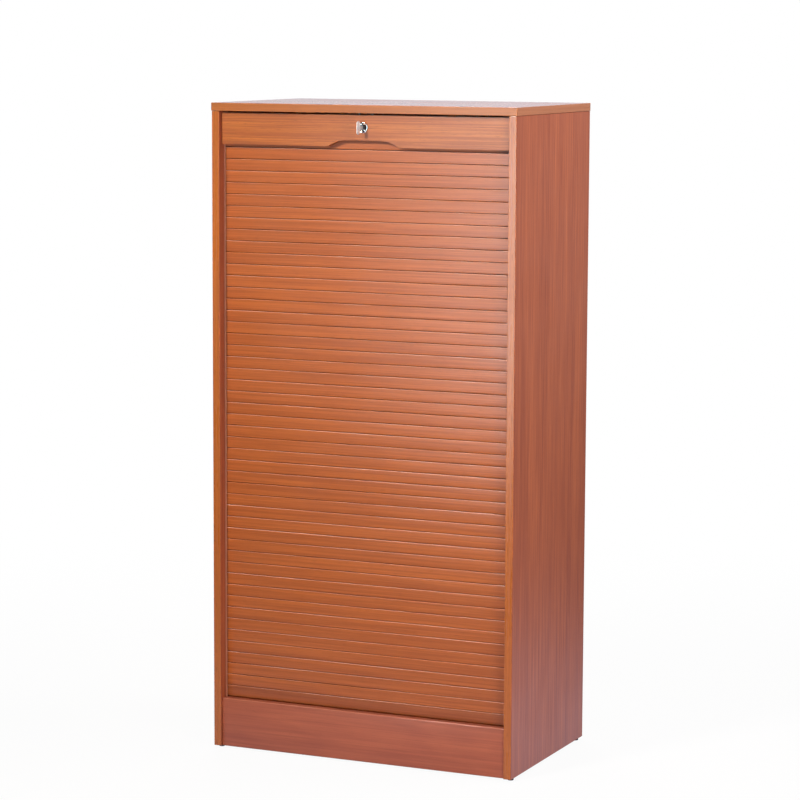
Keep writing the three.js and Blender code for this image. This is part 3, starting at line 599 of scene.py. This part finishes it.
def merged_copy(node, name, sides=()):
    """A copy of a solid with its loose triangles merged into flat faces.

    The sharp edges that lie on the named sides of the solid's box are marked, so that a
    bevel can round them.
    """
    apart, off_plane, flat, sharp = 2e-6, 2e-5, math.radians(1), math.radians(25)
    low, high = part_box(node)
    planes = [(axis, (high if sign > 0 else low)[axis]) for axis, sign in map(side_of, sides)]
    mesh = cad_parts[node].data.copy()
    mesh.name = name
    mesh.materials.clear()
    shell = bmesh.new()
    shell.from_mesh(mesh)
    bmesh.ops.remove_doubles(shell, verts=shell.verts, dist=apart)
    bmesh.ops.dissolve_limit(
        shell, angle_limit=flat, verts=shell.verts, edges=shell.edges, delimit={"NORMAL"}
    )
    weights = shell.edges.layers.float.new("bevel_weight_edge")
    for edge in shell.edges:
        if len(edge.link_faces) != 2 or edge.calc_face_angle(0) < sharp:
            continue
        if any(all(abs(vert.co[axis] - place) < off_plane for vert in edge.verts) for axis, place in planes):
            edge[weights] = 1.0
    shell.to_mesh(mesh)
    shell.free()
    return mesh


def round_edges(piece, radius):
    """Rounds the marked edges of a merged copy."""
    bevel = piece.modifiers.new("edge_round", "BEVEL")
    bevel.limit_method = "WEIGHT"
    bevel.width = radius
    bevel.segments = 3
    bevel.use_clamp_overlap = True
    bevel.miter_outer = "MITER_ARC"
    bevel.harden_normals = False


def paint_faces(mesh, finishes, rules):
    """Gives each face the finish of the first rule that it meets, or else the first finish."""
    count = len(mesh.polygons)
    normals, centres = np.zeros(count * 3), np.zeros(count * 3)
    mesh.polygons.foreach_get("normal", normals)
    mesh.polygons.foreach_get("center", centres)
    normals, centres = normals.reshape(-1, 3), centres.reshape(-1, 3)
    slots = np.zeros(count, np.int32)
    for finish, test in rules:
        slots[test(normals, centres) & (slots == 0)] = finishes.index(finish)
    mesh.polygons.foreach_set("material_index", slots)


def facing(finish, *sides, least=0.7):
    """Rules that give a finish to the faces turned to some sides."""

    def turned(side):
        axis, sign = side_of(side)
        return lambda normals, centres: normals[:, axis] * sign > least

    return [(finish, turned(side)) for side in sides]


def copied_board(node, body, finishes, rules, sides, radius):
    """A merged copy of a board's solid with a finish for each side and some sides rounded."""
    name = f"{node}_foiled"
    mesh = merged_copy(node, name, sides)
    paint_faces(mesh, finishes, rules)
    round_edges(add_piece(name, mesh, body, finishes, node, smooth=0), radius)


def plain_board(node, finishes, rules, radius):
    """A rounded board of the cabinet in the place of a solid that is a plain box."""
    name = f"{node}_foiled"
    mesh = rounded_board(name, *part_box(node), radius)
    paint_faces(mesh, finishes, rules)
    add_piece(name, mesh, "cabinet", finishes, node, smooth=40)


class CABINET_OT_finishes(Operator):
    """Make the materials"""

    bl_idname = "cabinet.finishes"
    bl_label = "Finishes"

    def execute(self, context):
        prepare_finishes(context.scene)
        return {"FINISHED"}


class CABINET_OT_top_panel(Operator):
    """Make the top panel with its banded edges"""

    bl_idname = "cabinet.top_panel"
    bl_label = "Top panel"

    def execute(self, context):
        edge_round, sides = context.scene.cabinet_boards.edge_round, ("-X", "+X", "-Y", "+Z")
        finishes = ("face_across", "band_across", "band_deep", "chips", "face_top")
        # The ends of the top panel take the painted sheen.
        rules = facing("band_across", "-Y") + facing("band_deep", "+X", "-X")
        # The top face takes the painted shade.
        rules += facing("chips", "+Y") + facing("face_top", "+Z")
        copied_board("top_panel", "cabinet", finishes, rules, sides, edge_round)
        return {"FINISHED"}


class CABINET_OT_side_panels(Operator):
    """Make the two side panels with their edge bands, grooves and rows of holes"""

    bl_idname = "cabinet.side_panels"
    bl_label = "Side panels"

    def execute(self, context):
        edge_round = context.scene.cabinet_boards.edge_round
        finishes = ("face_upright", "band_upright", "chips")
        rules = facing("band_upright", "-Y") + facing("chips", "+Y", "-Z", "+Z")
        for side, outer in zip(SIDES, ("-X", "+X")):
            node = f"{side}_side_panel"
            copied_board(node, "cabinet", finishes, rules, (outer, "-Y"), edge_round)
        return {"FINISHED"}


class CABINET_OT_plinth(Operator):
    """Make the plinth board with its rounded top edge"""

    bl_idname = "cabinet.plinth"
    bl_label = "Plinth"

    def execute(self, context):
        plinth_round = context.scene.cabinet_boards.plinth_round
        finishes = ("face_across", "face_edge", "chips", "face_under")
        # The flat top of the plinth takes the painted shade.
        rules = facing("chips", "-Z") + facing("face_under", "+Z", least=0.99)
        # The rounded top edge takes the painted highlight.
        rules += facing("face_edge", "+Z", least=0.2)
        plain_board("plinth_board", finishes, rules, plinth_round)
        return {"FINISHED"}


class CABINET_OT_inner_boards(Operator):
    """Make the deck, the shelves and the rail behind"""

    bl_idname = "cabinet.inner_boards"
    bl_label = "Deck, shelves and rail"

    def execute(self, context):
        boards = context.scene.cabinet_boards
        finishes = ("face_across", "band_across", "chips")
        rules = facing("band_across", "-Y") + facing("chips", "+Y", "+X", "-X")
        for node in ("deck_panel", "shelf_1", "shelf_2"):
            plain_board(node, finishes, rules, boards.edge_round)
        rules = facing("band_across", "+Z") + facing("chips", "-Z")
        plain_board("rear_rail", finishes, rules, boards.raw_round)
        return {"FINISHED"}


class CABINET_OT_backs(Operator):
    """Make the hardboard back and the inner back"""

    bl_idname = "cabinet.backs"
    bl_label = "Backs"

    def execute(self, context):
        raw_round, sides = context.scene.cabinet_boards.raw_round, ("-X", "+X", "-Z", "+Z")
        plain_board("inner_back", ("hardboard",), [], raw_round)
        copied_board("back_panel", "cabinet", ("hardboard",), [], sides, raw_round)
        return {"FINISHED"}


def slat_profile(slats, low_z, high_z, face, back):
    """The side view of some slats, as matching points on the face and on the back.

    Down each slat the face goes out of the groove, round the upper edge on a quarter
    circle, over a shallow arch that is highest in the middle, and round the lower edge
    back into the groove. Depths count back from the face.
    """
    count = max(1, round((high_z - low_z) / slats.pitch))
    pitch = (high_z - low_z) / count
    edge = slats.joint / 2
    turn = np.linspace(0, np.pi / 2, slats.steps + 1)
    top, bottom = slats.top_round, slats.bottom_round
    top_deep = top * (1 - np.sin(turn))
    top_down = edge + top * (1 - np.cos(turn))
    low_down = pitch - edge - bottom * (1 - np.sin(turn))
    low_deep = bottom * (1 - np.cos(turn))
    middle = np.linspace(top_down[-1], low_down[0], 9)[1:-1]
    down = np.concatenate([[0, edge], top_down, middle, low_down, [pitch - edge]])
    arch = slats.crown * ((down - pitch / 2) / (pitch / 2)) ** 2
    deep = np.concatenate([[slats.groove] * 2, top_deep, 0 * middle, low_deep, [slats.groove]])
    depth = deep + np.where(deep >= slats.groove, 0, arch)
    z = np.concatenate([high_z - k * pitch - down for k in range(count)] + [[low_z]])
    y = face + np.concatenate([np.tile(depth, count), [slats.groove]])
    return y, z, np.full_like(z, back)


def carried_across(name, y, z, back, left, right):
    """Carries a side view across the cabinet and closes it.

    The grid runs down the face and up the back in one direction and from the left end
    to the right end in the other. The ends are strips between the face and the back.
    """
    outline = np.stack([np.concatenate([y, back[::-1]]), np.concatenate([z, z[::-1]])], -1)
    points = [np.column_stack([np.full(len(outline), x), outline]) for x in (left, right)]
    faces = grid_faces(2, len(outline), wrap_columns=True)
    count = len(y)
    i = np.arange(count - 1)
    strip = np.stack([i, i + 1, 2 * count - 2 - i, 2 * count - 1 - i], -1)
    faces += strip.tolist() + (strip + 2 * count).tolist()
    return mesh_from(name, points, faces)


def add_slats(slats, name, node, bottom, body, finishes, shade=-1.0):
    """Makes the slats of a node, down to a height, with a painted highlight on the upper edges
    and dark grooves of backing sheet and painted shade.

    Faces below the height in shade take the last finish, the painted shade of the lowest slat.
    """
    low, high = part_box(node)
    y, z, back = slat_profile(slats, bottom, high.z, low.y, high.y)
    mesh = carried_across(name, y, z, back, low.x, high.x)
    face, shelf = low.y, low.y + slats.top_round
    near, deep = face + 0.8 * slats.top_round, face + slats.groove + 1e-5
    rules = [
        # Rounded upper edges: painted highlight.
        ("slat_edge", lambda normals, centres: (normals[:, Z] > 0.15) & (centres[:, Y] < near)),
        # Groove faces: backing sheet and painted shade.
        ("slat_gap", lambda normals, centres: (centres[:, Y] > shelf) & (centres[:, Y] < deep)),
        # Faces of the lowest slat: painted shade.
        (finishes[-1], lambda normals, centres: centres[:, Z] < shade),
    ]
    paint_faces(mesh, finishes, rules)
    return add_piece(name, mesh, body, finishes, node)


class CABINET_OT_curtain(Operator):
    """Make the slats of the curtain, section by section"""

    bl_idname = "cabinet.curtain"
    bl_label = "Curtain"

    def execute(self, context):
        slats = context.scene.curtain_slats
        sections = sorted(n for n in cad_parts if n.startswith("curtain_section"))
        bottoms = [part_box(node)[1].z for node in sections[1:]] + [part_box(sections[-1])[0].z]
        for index, (node, bottom) in enumerate(zip(sections, bottoms)):
            finishes, shade = ("slat", "slat_edge", "slat_gap"), -1.0
            # The last section's lowest slat takes the painted shade.
            if node == sections[-1]:
                finishes, shade = (*finishes, "slat_low"), bottom + slats.pitch
            piece = add_slats(slats, f"slats_{index + 1:02d}", node, bottom, "cabinet", finishes, shade)
            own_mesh(piece)
        # The tail behind the plinth is coloured like the grooves: painted shade in the gap behind the plinth.
        tail = merged_copy("curtain_tail", "slats_tail")
        piece = add_piece("slats_tail", tail, "cabinet", ("slat_gap",), "curtain_tail", 25)
        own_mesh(piece)
        return {"FINISHED"}


class CABINET_OT_leading_slat(Operator):
    """Make the slat that joins the curtain to the bar"""

    bl_idname = "cabinet.leading_slat"
    bl_label = "Leading slat"

    def execute(self, context):
        node, slats = "leading_slat", context.scene.curtain_slats
        finishes = ("slat_lead", "slat_edge", "slat_gap")
        add_slats(slats, f"{node}_foiled", node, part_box(node)[0].z, "shutter_bar", finishes)
        return {"FINISHED"}


class CABINET_OT_lock_bar(Operator):
    """Make the bar with the finger cutout"""

    bl_idname = "cabinet.lock_bar"
    bl_label = "Lock bar"

    def execute(self, context):
        edge_round = context.scene.cabinet_boards.edge_round
        # The ends of the bar take the painted sheen.
        finishes, rules = ("bar", "band_deep"), facing("band_deep", "+X", "-X")
        copied_board("lock_bar", "shutter_bar", finishes, rules, ("-Y",), edge_round)
        return {"FINISHED"}


class CABINET_OT_tracks(Operator):
    """Give the tracks and the bar guides their finishes"""

    bl_idname = "cabinet.tracks"
    bl_label = "Tracks and guides"

    def execute(self, context):
        for side in SIDES:
            finish_node(f"{side}_track", "track")
            finish_node(f"bar_guide_{side}", "black")
        return {"FINISHED"}


class CABINET_OT_glides(Operator):
    """Make the four glides under the side panels, each turned from a foot and a stem"""

    bl_idname = "cabinet.glides"
    bl_label = "Glides"

    def execute(self, context):
        stem, foot, rim, chamfer = 0.002, 0.0016, 0.0006, 0.0008
        for node in (f"glide_{end}_{side}" for end in ENDS for side in SIDES):
            low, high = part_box(node)
            centre = ((low.x + high.x) / 2, (low.y + high.y) / 2, 0)
            panel = f"{node.split('_')[-1]}_side_panel"
            top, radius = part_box(panel)[0].z - GAP, (high.x - low.x) / 2
            profile = [(0, 0), (radius * 0.55, 0)]
            profile += arc((radius - foot, foot), foot, -90, 0, 6)
            profile += arc((radius - rim, top - rim), rim, 0, 90, 4)
            profile += [(stem, top), (stem, high.z - chamfer), (stem * 0.5, high.z), (0, high.z)]
            mesh = lathed(f"{node}_moulded", profile, centre, Z, 40)
            add_piece(f"{node}_moulded", mesh, "cabinet", ("black",), node)
        return {"FINISHED"}


class CABINET_OT_shelf_pins(Operator):
    """Make the pins that carry the shelves, each turned with a collar at the side panel"""

    bl_idname = "cabinet.shelf_pins"
    bl_label = "Shelf pins"

    def execute(self, context):
        nodes = sorted(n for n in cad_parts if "_pin_" in n)
        if not nodes:
            raise RuntimeError("the packed model has no shelf pins")
        radius, collar, round_off, chamfer, tip = 0.0025, 0.001, 0.0002, 0.0007, 0.0006
        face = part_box("right_side_panel")[0].x
        for node in nodes:
            low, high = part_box(node)
            sign = 1 if low.x > 0 else -1
            inner, outer = min(abs(low.x), abs(high.x)), max(abs(low.x), abs(high.x))
            wide = (high.z - low.z) / 2
            start, stop = face - collar - GAP, face - GAP
            profile = [(0, inner), (radius - chamfer, inner), (radius, inner + chamfer), (radius, start)]
            profile += [(wide - round_off, start), (wide, start + round_off), (wide, stop - round_off)]
            profile += [(wide - round_off, stop), (radius, stop), (radius, outer - tip)]
            profile += [(radius - tip, outer), (0, outer)]
            centre = (0, (low.y + high.y) / 2, (low.z + high.z) / 2)
            mesh = lathed(f"{node}_turned", [(r, sign * h) for r, h in profile], centre, X, 32)
            add_piece(f"{node}_turned", mesh, "cabinet", ("zinc",), node)
        return {"FINISHED"}


def cross_screw(name, head_radius, head, shank_radius, shank, lock):
    """A screw with a domed head and a cross-shaped recess, about its own axis.

    The grid runs out from the middle of the head, over its rim, and down the shank to
    its tip. On the head the height is a dome less the recess, whose depth fades with
    the distance from the nearer arm of the cross. The shank waves in for each thread.
    """
    sides, rings, steps, threads = 48, 14, 60, 9
    reach_share, fade, drop, rim, bulge = 0.62, 0.14, 0.62, 0.30, 2.2
    core, point, neck, taper = 0.92, 0.25, 0.0004, 0.0018
    turn = np.linspace(0, 2 * np.pi, sides, endpoint=False)
    out = np.linspace(0, 1, rings) ** 0.9 * (head_radius - 0.0002)
    r, t = np.meshgrid(out, turn, indexing="ij")
    x, y = r * np.cos(t), r * np.sin(t)
    arm = np.minimum(np.abs(x), np.abs(y))
    reach = np.clip((reach_share * head_radius - r) / (fade * head_radius), 0, 1)
    inside = np.clip((lock.recess_width / 2 - arm) / (0.35 * lock.recess_width) + 0.5, 0, 1)
    z = head * (1 - drop * (r / head_radius) ** bulge) - lock.recess * reach * inside
    down = np.linspace(0, 1, steps)
    wave = 0.12 * shank_radius * np.abs(((down * threads) % 1) - 0.5) * 2
    thread = shank_radius * core - wave * 0.5
    lower_r = [head_radius, head_radius, shank_radius, *thread, point * shank_radius]
    lower_z = [rim * head, 0.0, 0.0, *(-neck - down * (shank - neck - taper)), -shank]
    lower_r, lower_z = np.array(lower_r)[:, None], np.array(lower_z)[:, None]
    lower = np.stack([lower_r * np.cos(turn), lower_r * np.sin(turn), lower_z + 0 * turn], -1)
    points = np.concatenate([np.stack([x, y, z], -1), lower])
    faces = grid_faces(len(points), sides, wrap_columns=True) + end_faces(len(points), sides)[1:]
    return mesh_from(name, points, faces)


class CABINET_OT_screws(Operator):
    """Make the screws of the back, the strike and the lock"""

    bl_idname = "cabinet.screws"
    bl_label = "Screws"

    def execute(self, context):
        lock = context.scene.lock_fittings
        head, shank_radius = 0.0014, 0.0016
        turns = {
            "back": ((0, 1, 0), "cabinet"),
            "strike": ((0, 0, -1), "cabinet"),
            "lock": ((0, 1, 0), "shutter_bar"),
        }
        for node in sorted(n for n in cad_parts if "_screw_" in n):
            direction, body = turns[node.split("_")[0]]
            low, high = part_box(node)
            outward, seat = Vector(direction), (low + high) / 2
            axis = next(i for i in range(3) if outward[i])
            tip = high[axis] if outward[axis] > 0 else low[axis]
            seat[axis] = tip - outward[axis] * head
            name, shank = f"{node}_cross", high[axis] - low[axis] - head
            mesh = cross_screw(name, (high.x - low.x) / 2, head, shank_radius, shank, lock)
            spin = sum(ord(letter) for letter in node) % 9 * 0.35
            turned = outward.to_track_quat("Z", "Y").to_matrix().to_4x4() @ Matrix.Rotation(spin, 4, "Z")
            mesh.transform(Matrix.Translation(seat) @ turned)
            add_piece(name, mesh, body, ("zinc",), node)
        return {"FINISHED"}


class CABINET_OT_lock(Operator):
    """Make the lock's rosette and barrel, turned in one, and finish the plug and the hidden works"""

    bl_idname = "cabinet.lock"
    bl_label = "Lock"

    def execute(self, context):
        lock = context.scene.lock_fittings
        low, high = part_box("lock_housing")
        centre = ((low.x + high.x) / 2, 0, (low.z + high.z) / 2)
        front, rim, bar = low.y, (high.x - low.x) / 2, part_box("lock_bar")[0].y - GAP
        bore, barrel, chamfer = 0.0055, 0.009, 0.0004
        r, dished = lock.ring_round, front + lock.dish
        profile = [(bore, front + 0.0011), (bore + 0.0003, front + 0.0007), (bore + 0.0011, front + 0.0004)]
        profile += [(bore + 0.0019, dished), (rim - 0.0036, dished)]
        profile += arc((rim - r * 1.4, front + r), r, 230, 270, 4)
        profile += arc((rim - r, front + r), r, 275, 360, 8)
        profile += [(rim, bar - GAP), (rim - GAP, bar), (barrel, bar)]
        profile += [(barrel, high.y - chamfer), (barrel - chamfer, high.y), (bore, high.y)]
        mesh = lathed("lock_rosette", profile, centre, Y, 96)
        add_piece("lock_rosette", mesh, "shutter_bar", ("chrome",), "lock_housing", 40)
        finish_node("lock_plug", "plug")
        for node in ("lock_case", "lock_cover", "lock_cam", "strike_plate"):
            finish_node(node, "zinc")
        # The hooks take the painted shade.
        for side in SIDES:
            finish_node(f"lock_hook_{side}", "dark_steel")
        return {"FINISHED"}


def rounded_outline(low, high, radius, steps):
    """A rounded rectangle as a closed loop of points, from its two corners."""
    loop = []
    corners = [(high[0], high[1], 0), (low[0], high[1], 90), (low[0], low[1], 180), (high[0], low[1], 270)]
    for y, z, start in corners:
        middle = (y - radius if y == high[0] else y + radius, z - radius if z == high[1] else z + radius)
        loop += arc(middle, radius, start, start + 90, steps)
    return np.array(loop)


def key_bow(low, high, depth, bevel):
    """The bow of the key as a ring of points round its hole, closed both ways.

    The rows are the rounded outline and the edge of the ring hole, on the right cheek
    and then on the left. Each point of the hole faces one of the outline, and the bevel
    moves the rows on the cheeks along the line between the two.
    """
    corner, hole_place, hole_radius = 0.005, 0.0065, 0.0018
    half = (high.x - low.x) / 2
    edge = half - bevel
    outer = rounded_outline((low.y, low.z), (low.y + depth, high.z), corner, 8)
    centre = np.array([low.y + hole_place, (low.z + high.z) / 2])
    turn = np.arctan2(outer[:, 1] - centre[1], outer[:, 0] - centre[0])
    hole = centre + hole_radius * np.stack([np.cos(turn), np.sin(turn)], -1)
    inward = bevel * ((centre - outer) / np.linalg.norm(centre - outer, axis=1)[:, None])
    rows = [(outer, edge), (outer + inward, half), (hole - inward, half), (hole, edge)]
    rows += [(loop, -x) for loop, x in reversed(rows)]
    return np.stack([np.column_stack([np.full(len(outer), x), loop]) for loop, x in rows])


def key_blade(low, high, start):
    """The shank and the blade of the key: an upright section carried back to the tip.

    The lower edge steps in over the last part for the cuts, both edges close in at the
    nose, and a groove runs along each cheek.
    """
    half_height, slope, blade, nose_start = 0.0035, 0.0016, 0.42, 0.95
    deepest, cuts = 0.0011, np.array([0.0, 0.9, 0.35, 1.15, 0.6, 0.2])
    middle, body, groove = (low.z + high.z) / 2, (high.x - low.x) / 2 - 0.0002, 0.0007
    along = np.linspace(start, high.y, 60)
    share = (along - along[0]) / (along[-1] - along[0])
    step = np.minimum((np.clip(share - blade, 0, 1) * 10).astype(int), len(cuts) - 1)
    cut = np.where(share > blade, deepest * cuts[step], 0)
    nose = np.clip((share - nose_start) / 0.05, 0, 1) * slope
    upper, lower = middle + half_height - nose, middle - half_height + np.maximum(cut, nose)
    section = [(-body, lower), (body, lower), (body, upper - 0.002), (body - groove, upper - 0.0016)]
    section += [(body - groove, upper - 0.0009), (body, upper - 0.0005), (body, upper), (-body, upper)]
    section += [(-body, lower + 0.0025), (-body + 0.0006, lower + 0.002), (-body + 0.0006, lower + 0.0012)]
    rows = [np.column_stack([np.full_like(along, x), along, z + 0 * along]) for x, z in section]
    return np.stack(rows).transpose(1, 0, 2)


class CABINET_OT_key(Operator):
    """Make the key: a bow with a ring hole, a shank and a cut blade"""

    bl_idname = "cabinet.key"
    bl_label = "Key"

    def execute(self, context):
        bow_depth, sunk = 0.013, 0.002
        low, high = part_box("key")
        bow = key_bow(low, high, bow_depth, context.scene.lock_fittings.key_bevel)
        blade = key_blade(low, high, low.y + bow_depth - sunk)
        rows, count, first = blade.shape[0], blade.shape[1], bow.shape[0] * bow.shape[1]
        faces = grid_faces(bow.shape[0], bow.shape[1], wrap_rows=True, wrap_columns=True)
        faces += grid_faces(rows, count, wrap_columns=True, first=first)
        faces += [[first + k for k in face] for face in end_faces(rows, count)]
        points = np.concatenate([bow.reshape(-1, 3), blade.reshape(-1, 3)])
        mesh = mesh_from("key_cut", points, faces)
        add_piece("key_cut", mesh, "key", ("nickel",), "key")
        return {"FINISHED"}


def make_floor(stage):
    """A round floor on a grid of distance and turn. Its white hides all but a little of its shadow."""
    sides, reach = 96, np.array([0.02, 0.5, 1.2, 2.5, 6.0])[:, None]
    turn = np.linspace(0, 2 * np.pi, sides, endpoint=False)
    points = np.stack([reach * np.cos(turn), reach * np.sin(turn), 0 * reach * turn], -1)
    faces = grid_faces(len(reach), sides, wrap_columns=True) + [list(range(sides))]
    mesh = bpy.data.meshes.new("studio_floor")
    mesh.from_pydata(points.reshape(-1, 3).tolist(), [], faces)
    floor = bpy.data.objects.new("studio_floor", mesh)
    bpy.context.scene.collection.objects.link(floor)
    finish = new_finish("studio_floor_paint")
    node = finish.add("ShaderNodeVectorMath", operation="LENGTH")
    finish.feed(node.inputs[0], finish.coordinates["Object"])
    distance = node.outputs["Value"]
    rays = finish.add("ShaderNodeLightPath").outputs
    camera_ray = rays["Is Camera Ray"]
    seen = finish.sum("MAXIMUM", camera_ray, rays["Is Glossy Ray"])
    seen = finish.sum("MAXIMUM", seen, rays["Is Transmission Ray"])
    near = finish.spread(distance, 0.7, 2.6, stage.floor_share, 0.0)
    share = finish.sum("MULTIPLY", seen, finish.sum("SUBTRACT", 1.0, near))
    matt, white = finish.add("ShaderNodeBsdfDiffuse"), finish.add("ShaderNodeEmission")
    finish.put(matt, Color=finish.blend(camera_ray, (0.42, 0.42, 0.44), (0.86, 0.86, 0.88)))
    finish.put(white, Color=finish.blend(camera_ray, (0.78, 0.90, 1.22), (1.0, 1.0, 1.0)))
    far = finish.spread(distance, 0.4, 2.2, 1.0, 0.12)
    finish.put(white, Strength=finish.sum("MAXIMUM", far, camera_ray))
    mesh.materials.append(finish.show(finish.mixed(share, matt, white)))


def make_room(stage):
    """Even light from all sides, white where the camera sees it, and a pale wall behind for gloss."""
    world = bpy.data.worlds.new("studio_room")
    bpy.context.scene.world = world
    room = Finish(world, "ShaderNodeOutputWorld")
    toward = room.add("ShaderNodeVectorMath", operation="DOT_PRODUCT")
    toward.inputs[1].default_value = (-0.41, 0.912, 0.0)
    room.feed(toward.inputs[0], room.coordinates["Generated"])
    around = room.spread(toward.outputs["Value"], -0.1, 0.6, 0.015, 0.16, smooth=False)
    behind = room.spread(toward.outputs["Value"], 0.60, 0.98, 0.0, 1.2)
    gloss, even, white = (room.add("ShaderNodeBackground") for _ in range(3))
    room.put(gloss, Color=(0.74, 0.90, 1.0, 1), Strength=room.sum("ADD", around, behind))
    room.put(even, Color=(1.0, 0.98, 0.97, 1), Strength=stage.room)
    room.put(white, Color=(1, 1, 1, 1), Strength=1.0)
    rays = room.add("ShaderNodeLightPath").outputs
    unseen = room.mixed(rays["Is Glossy Ray"], even, gloss)
    room.show(room.mixed(rays["Is Camera Ray"], unseen, white))


def make_lamp(
    name, energy, size, centre, direction, distance, tint, aim=None, spread=180, matt=True, gloss=True
):
    """A panel of light at a distance from a centre, turned to it or aimed at another place.

    The direction is an azimuth, which is 0 straight in front and grows to the right, and
    an elevation. A narrow spread makes the light fall off round the aim. The lamp can be
    left out of the matt light or of the gloss.
    """
    lamp = bpy.data.lights.new(name, "AREA")
    lamp.energy = energy
    lamp.shape = "RECTANGLE"
    lamp.size, lamp.size_y = size
    lamp.color = tint
    lamp.spread = math.radians(spread)
    holder = bpy.data.objects.new(name, lamp)
    bpy.context.scene.collection.objects.link(holder)
    turn, rise = (math.radians(part) for part in direction)
    back = Vector((math.sin(turn) * math.cos(rise), -math.cos(turn) * math.cos(rise), math.sin(rise)))
    holder.location = Vector(centre) + distance * back
    ahead = Vector(aim) - holder.location if aim else -back
    holder.rotation_euler = ahead.to_track_quat("-Z", "Y").to_euler()
    holder.visible_diffuse, holder.visible_glossy = matt, gloss


def make_lamps(stage):
    """Makes the five lamps."""
    make_lamp(
        "key_light", stage.key_power, (0.5, 0.5), (0.05, -0.17, 0.95), (-18, 31), 3.0, (1.0, 0.94, 0.84),
        aim=(0.28, -0.17, 0.80), spread=80,
    )
    make_lamp(
        "side_light", stage.side_power, (1.6, 1.2), (0.3, 0.34, 1.75), (96, 34), 1.6, (1.0, 0.97, 0.95),
        aim=(0.325, 0.2, 1.4), spread=90, gloss=False,
    )
    make_lamp(
        "sheen_light", stage.sheen_power, (0.36, 1.3), (0.41, -0.17, 1.0), (-22, 0), 2.3, (0.54, 0.86, 1.0),
        matt=False,
    )
    make_lamp(
        "front_light", stage.front_power, (0.8, 0.8), (0.2, -0.17, 1.0), (53, 4), 2.3, (0.97, 0.94, 0.95),
        gloss=False,
    )
    make_lamp(
        "back_light", stage.back_power, (1.8, 1.4), (-0.2, 0.2, 0.8), (203, 24), 2.6, (1.0, 0.97, 0.93),
        gloss=False,
    )


def make_camera(stage):
    """The camera at the photograph's place."""
    place = (2.37826, -5.25869, 1.45406)
    data = bpy.data.cameras.new("photograph")
    data.sensor_width = 36.0
    data.lens = stage.lens
    data.clip_start, data.clip_end = 0.05, 60
    camera = bpy.data.objects.new("photograph", data)
    bpy.context.scene.collection.objects.link(camera)
    aim = Euler((math.pi / 2 - stage.pitch, 0, stage.yaw)).to_matrix().to_4x4()
    camera.matrix_world = Matrix.Translation(place) @ aim @ Matrix.Rotation(-stage.roll, 4, "Z")
    bpy.context.scene.camera = camera


class CABINET_OT_stage(Operator):
    """Make the floor, the surroundings, the lamps and the camera"""

    bl_idname = "cabinet.stage"
    bl_label = "Stage"

    def execute(self, context):
        stage = context.scene.studio_stage
        make_floor(stage)
        make_room(stage)
        make_lamps(stage)
        make_camera(stage)
        context.scene.view_settings.view_transform = "Standard"
        return {"FINISHED"}


MAKERS = (
    CABINET_OT_finishes,
    CABINET_OT_top_panel,
    CABINET_OT_side_panels,
    CABINET_OT_plinth,
    CABINET_OT_inner_boards,
    CABINET_OT_backs,
    CABINET_OT_curtain,
    CABINET_OT_leading_slat,
    CABINET_OT_lock_bar,
    CABINET_OT_tracks,
    CABINET_OT_glides,
    CABINET_OT_shelf_pins,
    CABINET_OT_screws,
    CABINET_OT_lock,
    CABINET_OT_key,
    CABINET_OT_stage,
)
GROUPS = {
    "cabinet_boards": CabinetBoards,
    "curtain_slats": CurtainSlats,
    "lock_fittings": LockFittings,
    "studio_stage": StudioStage,
}


class CABINET_PT_sidebar(Panel):
    """The list of the cabinet's values and of the operators that make its pieces"""

    bl_idname = "CABINET_PT_sidebar"
    bl_label = "Tambour door cabinet"
    bl_space_type = "VIEW_3D"
    bl_region_type = "UI"
    bl_category = "Cabinet"

    def draw(self, context):
        layout = self.layout
        for name, group in GROUPS.items():
            box = layout.box()
            for key in group.__annotations__:
                box.prop(getattr(context.scene, name), key)
        for maker in MAKERS:
            layout.operator(maker.bl_idname)


def register():
    """Registers the groups of values, the makers and the panel."""
    for kind in (*GROUPS.values(), *MAKERS, CABINET_PT_sidebar):
        bpy.utils.register_class(kind)
    for name, group in GROUPS.items():
        setattr(bpy.types.Scene, name, PointerProperty(type=group))


def unregister():
    """Takes everything away that register added."""
    for name in GROUPS:
        delattr(bpy.types.Scene, name)
    for kind in (CABINET_PT_sidebar, *reversed(MAKERS), *reversed(GROUPS.values())):
        bpy.utils.unregister_class(kind)


def main():
    """Makes every piece in order."""
    register()
    for maker in MAKERS:
        group, action = maker.bl_idname.split(".")
        getattr(getattr(bpy.ops, group), action)()


if __name__ == "__main__":
    main()
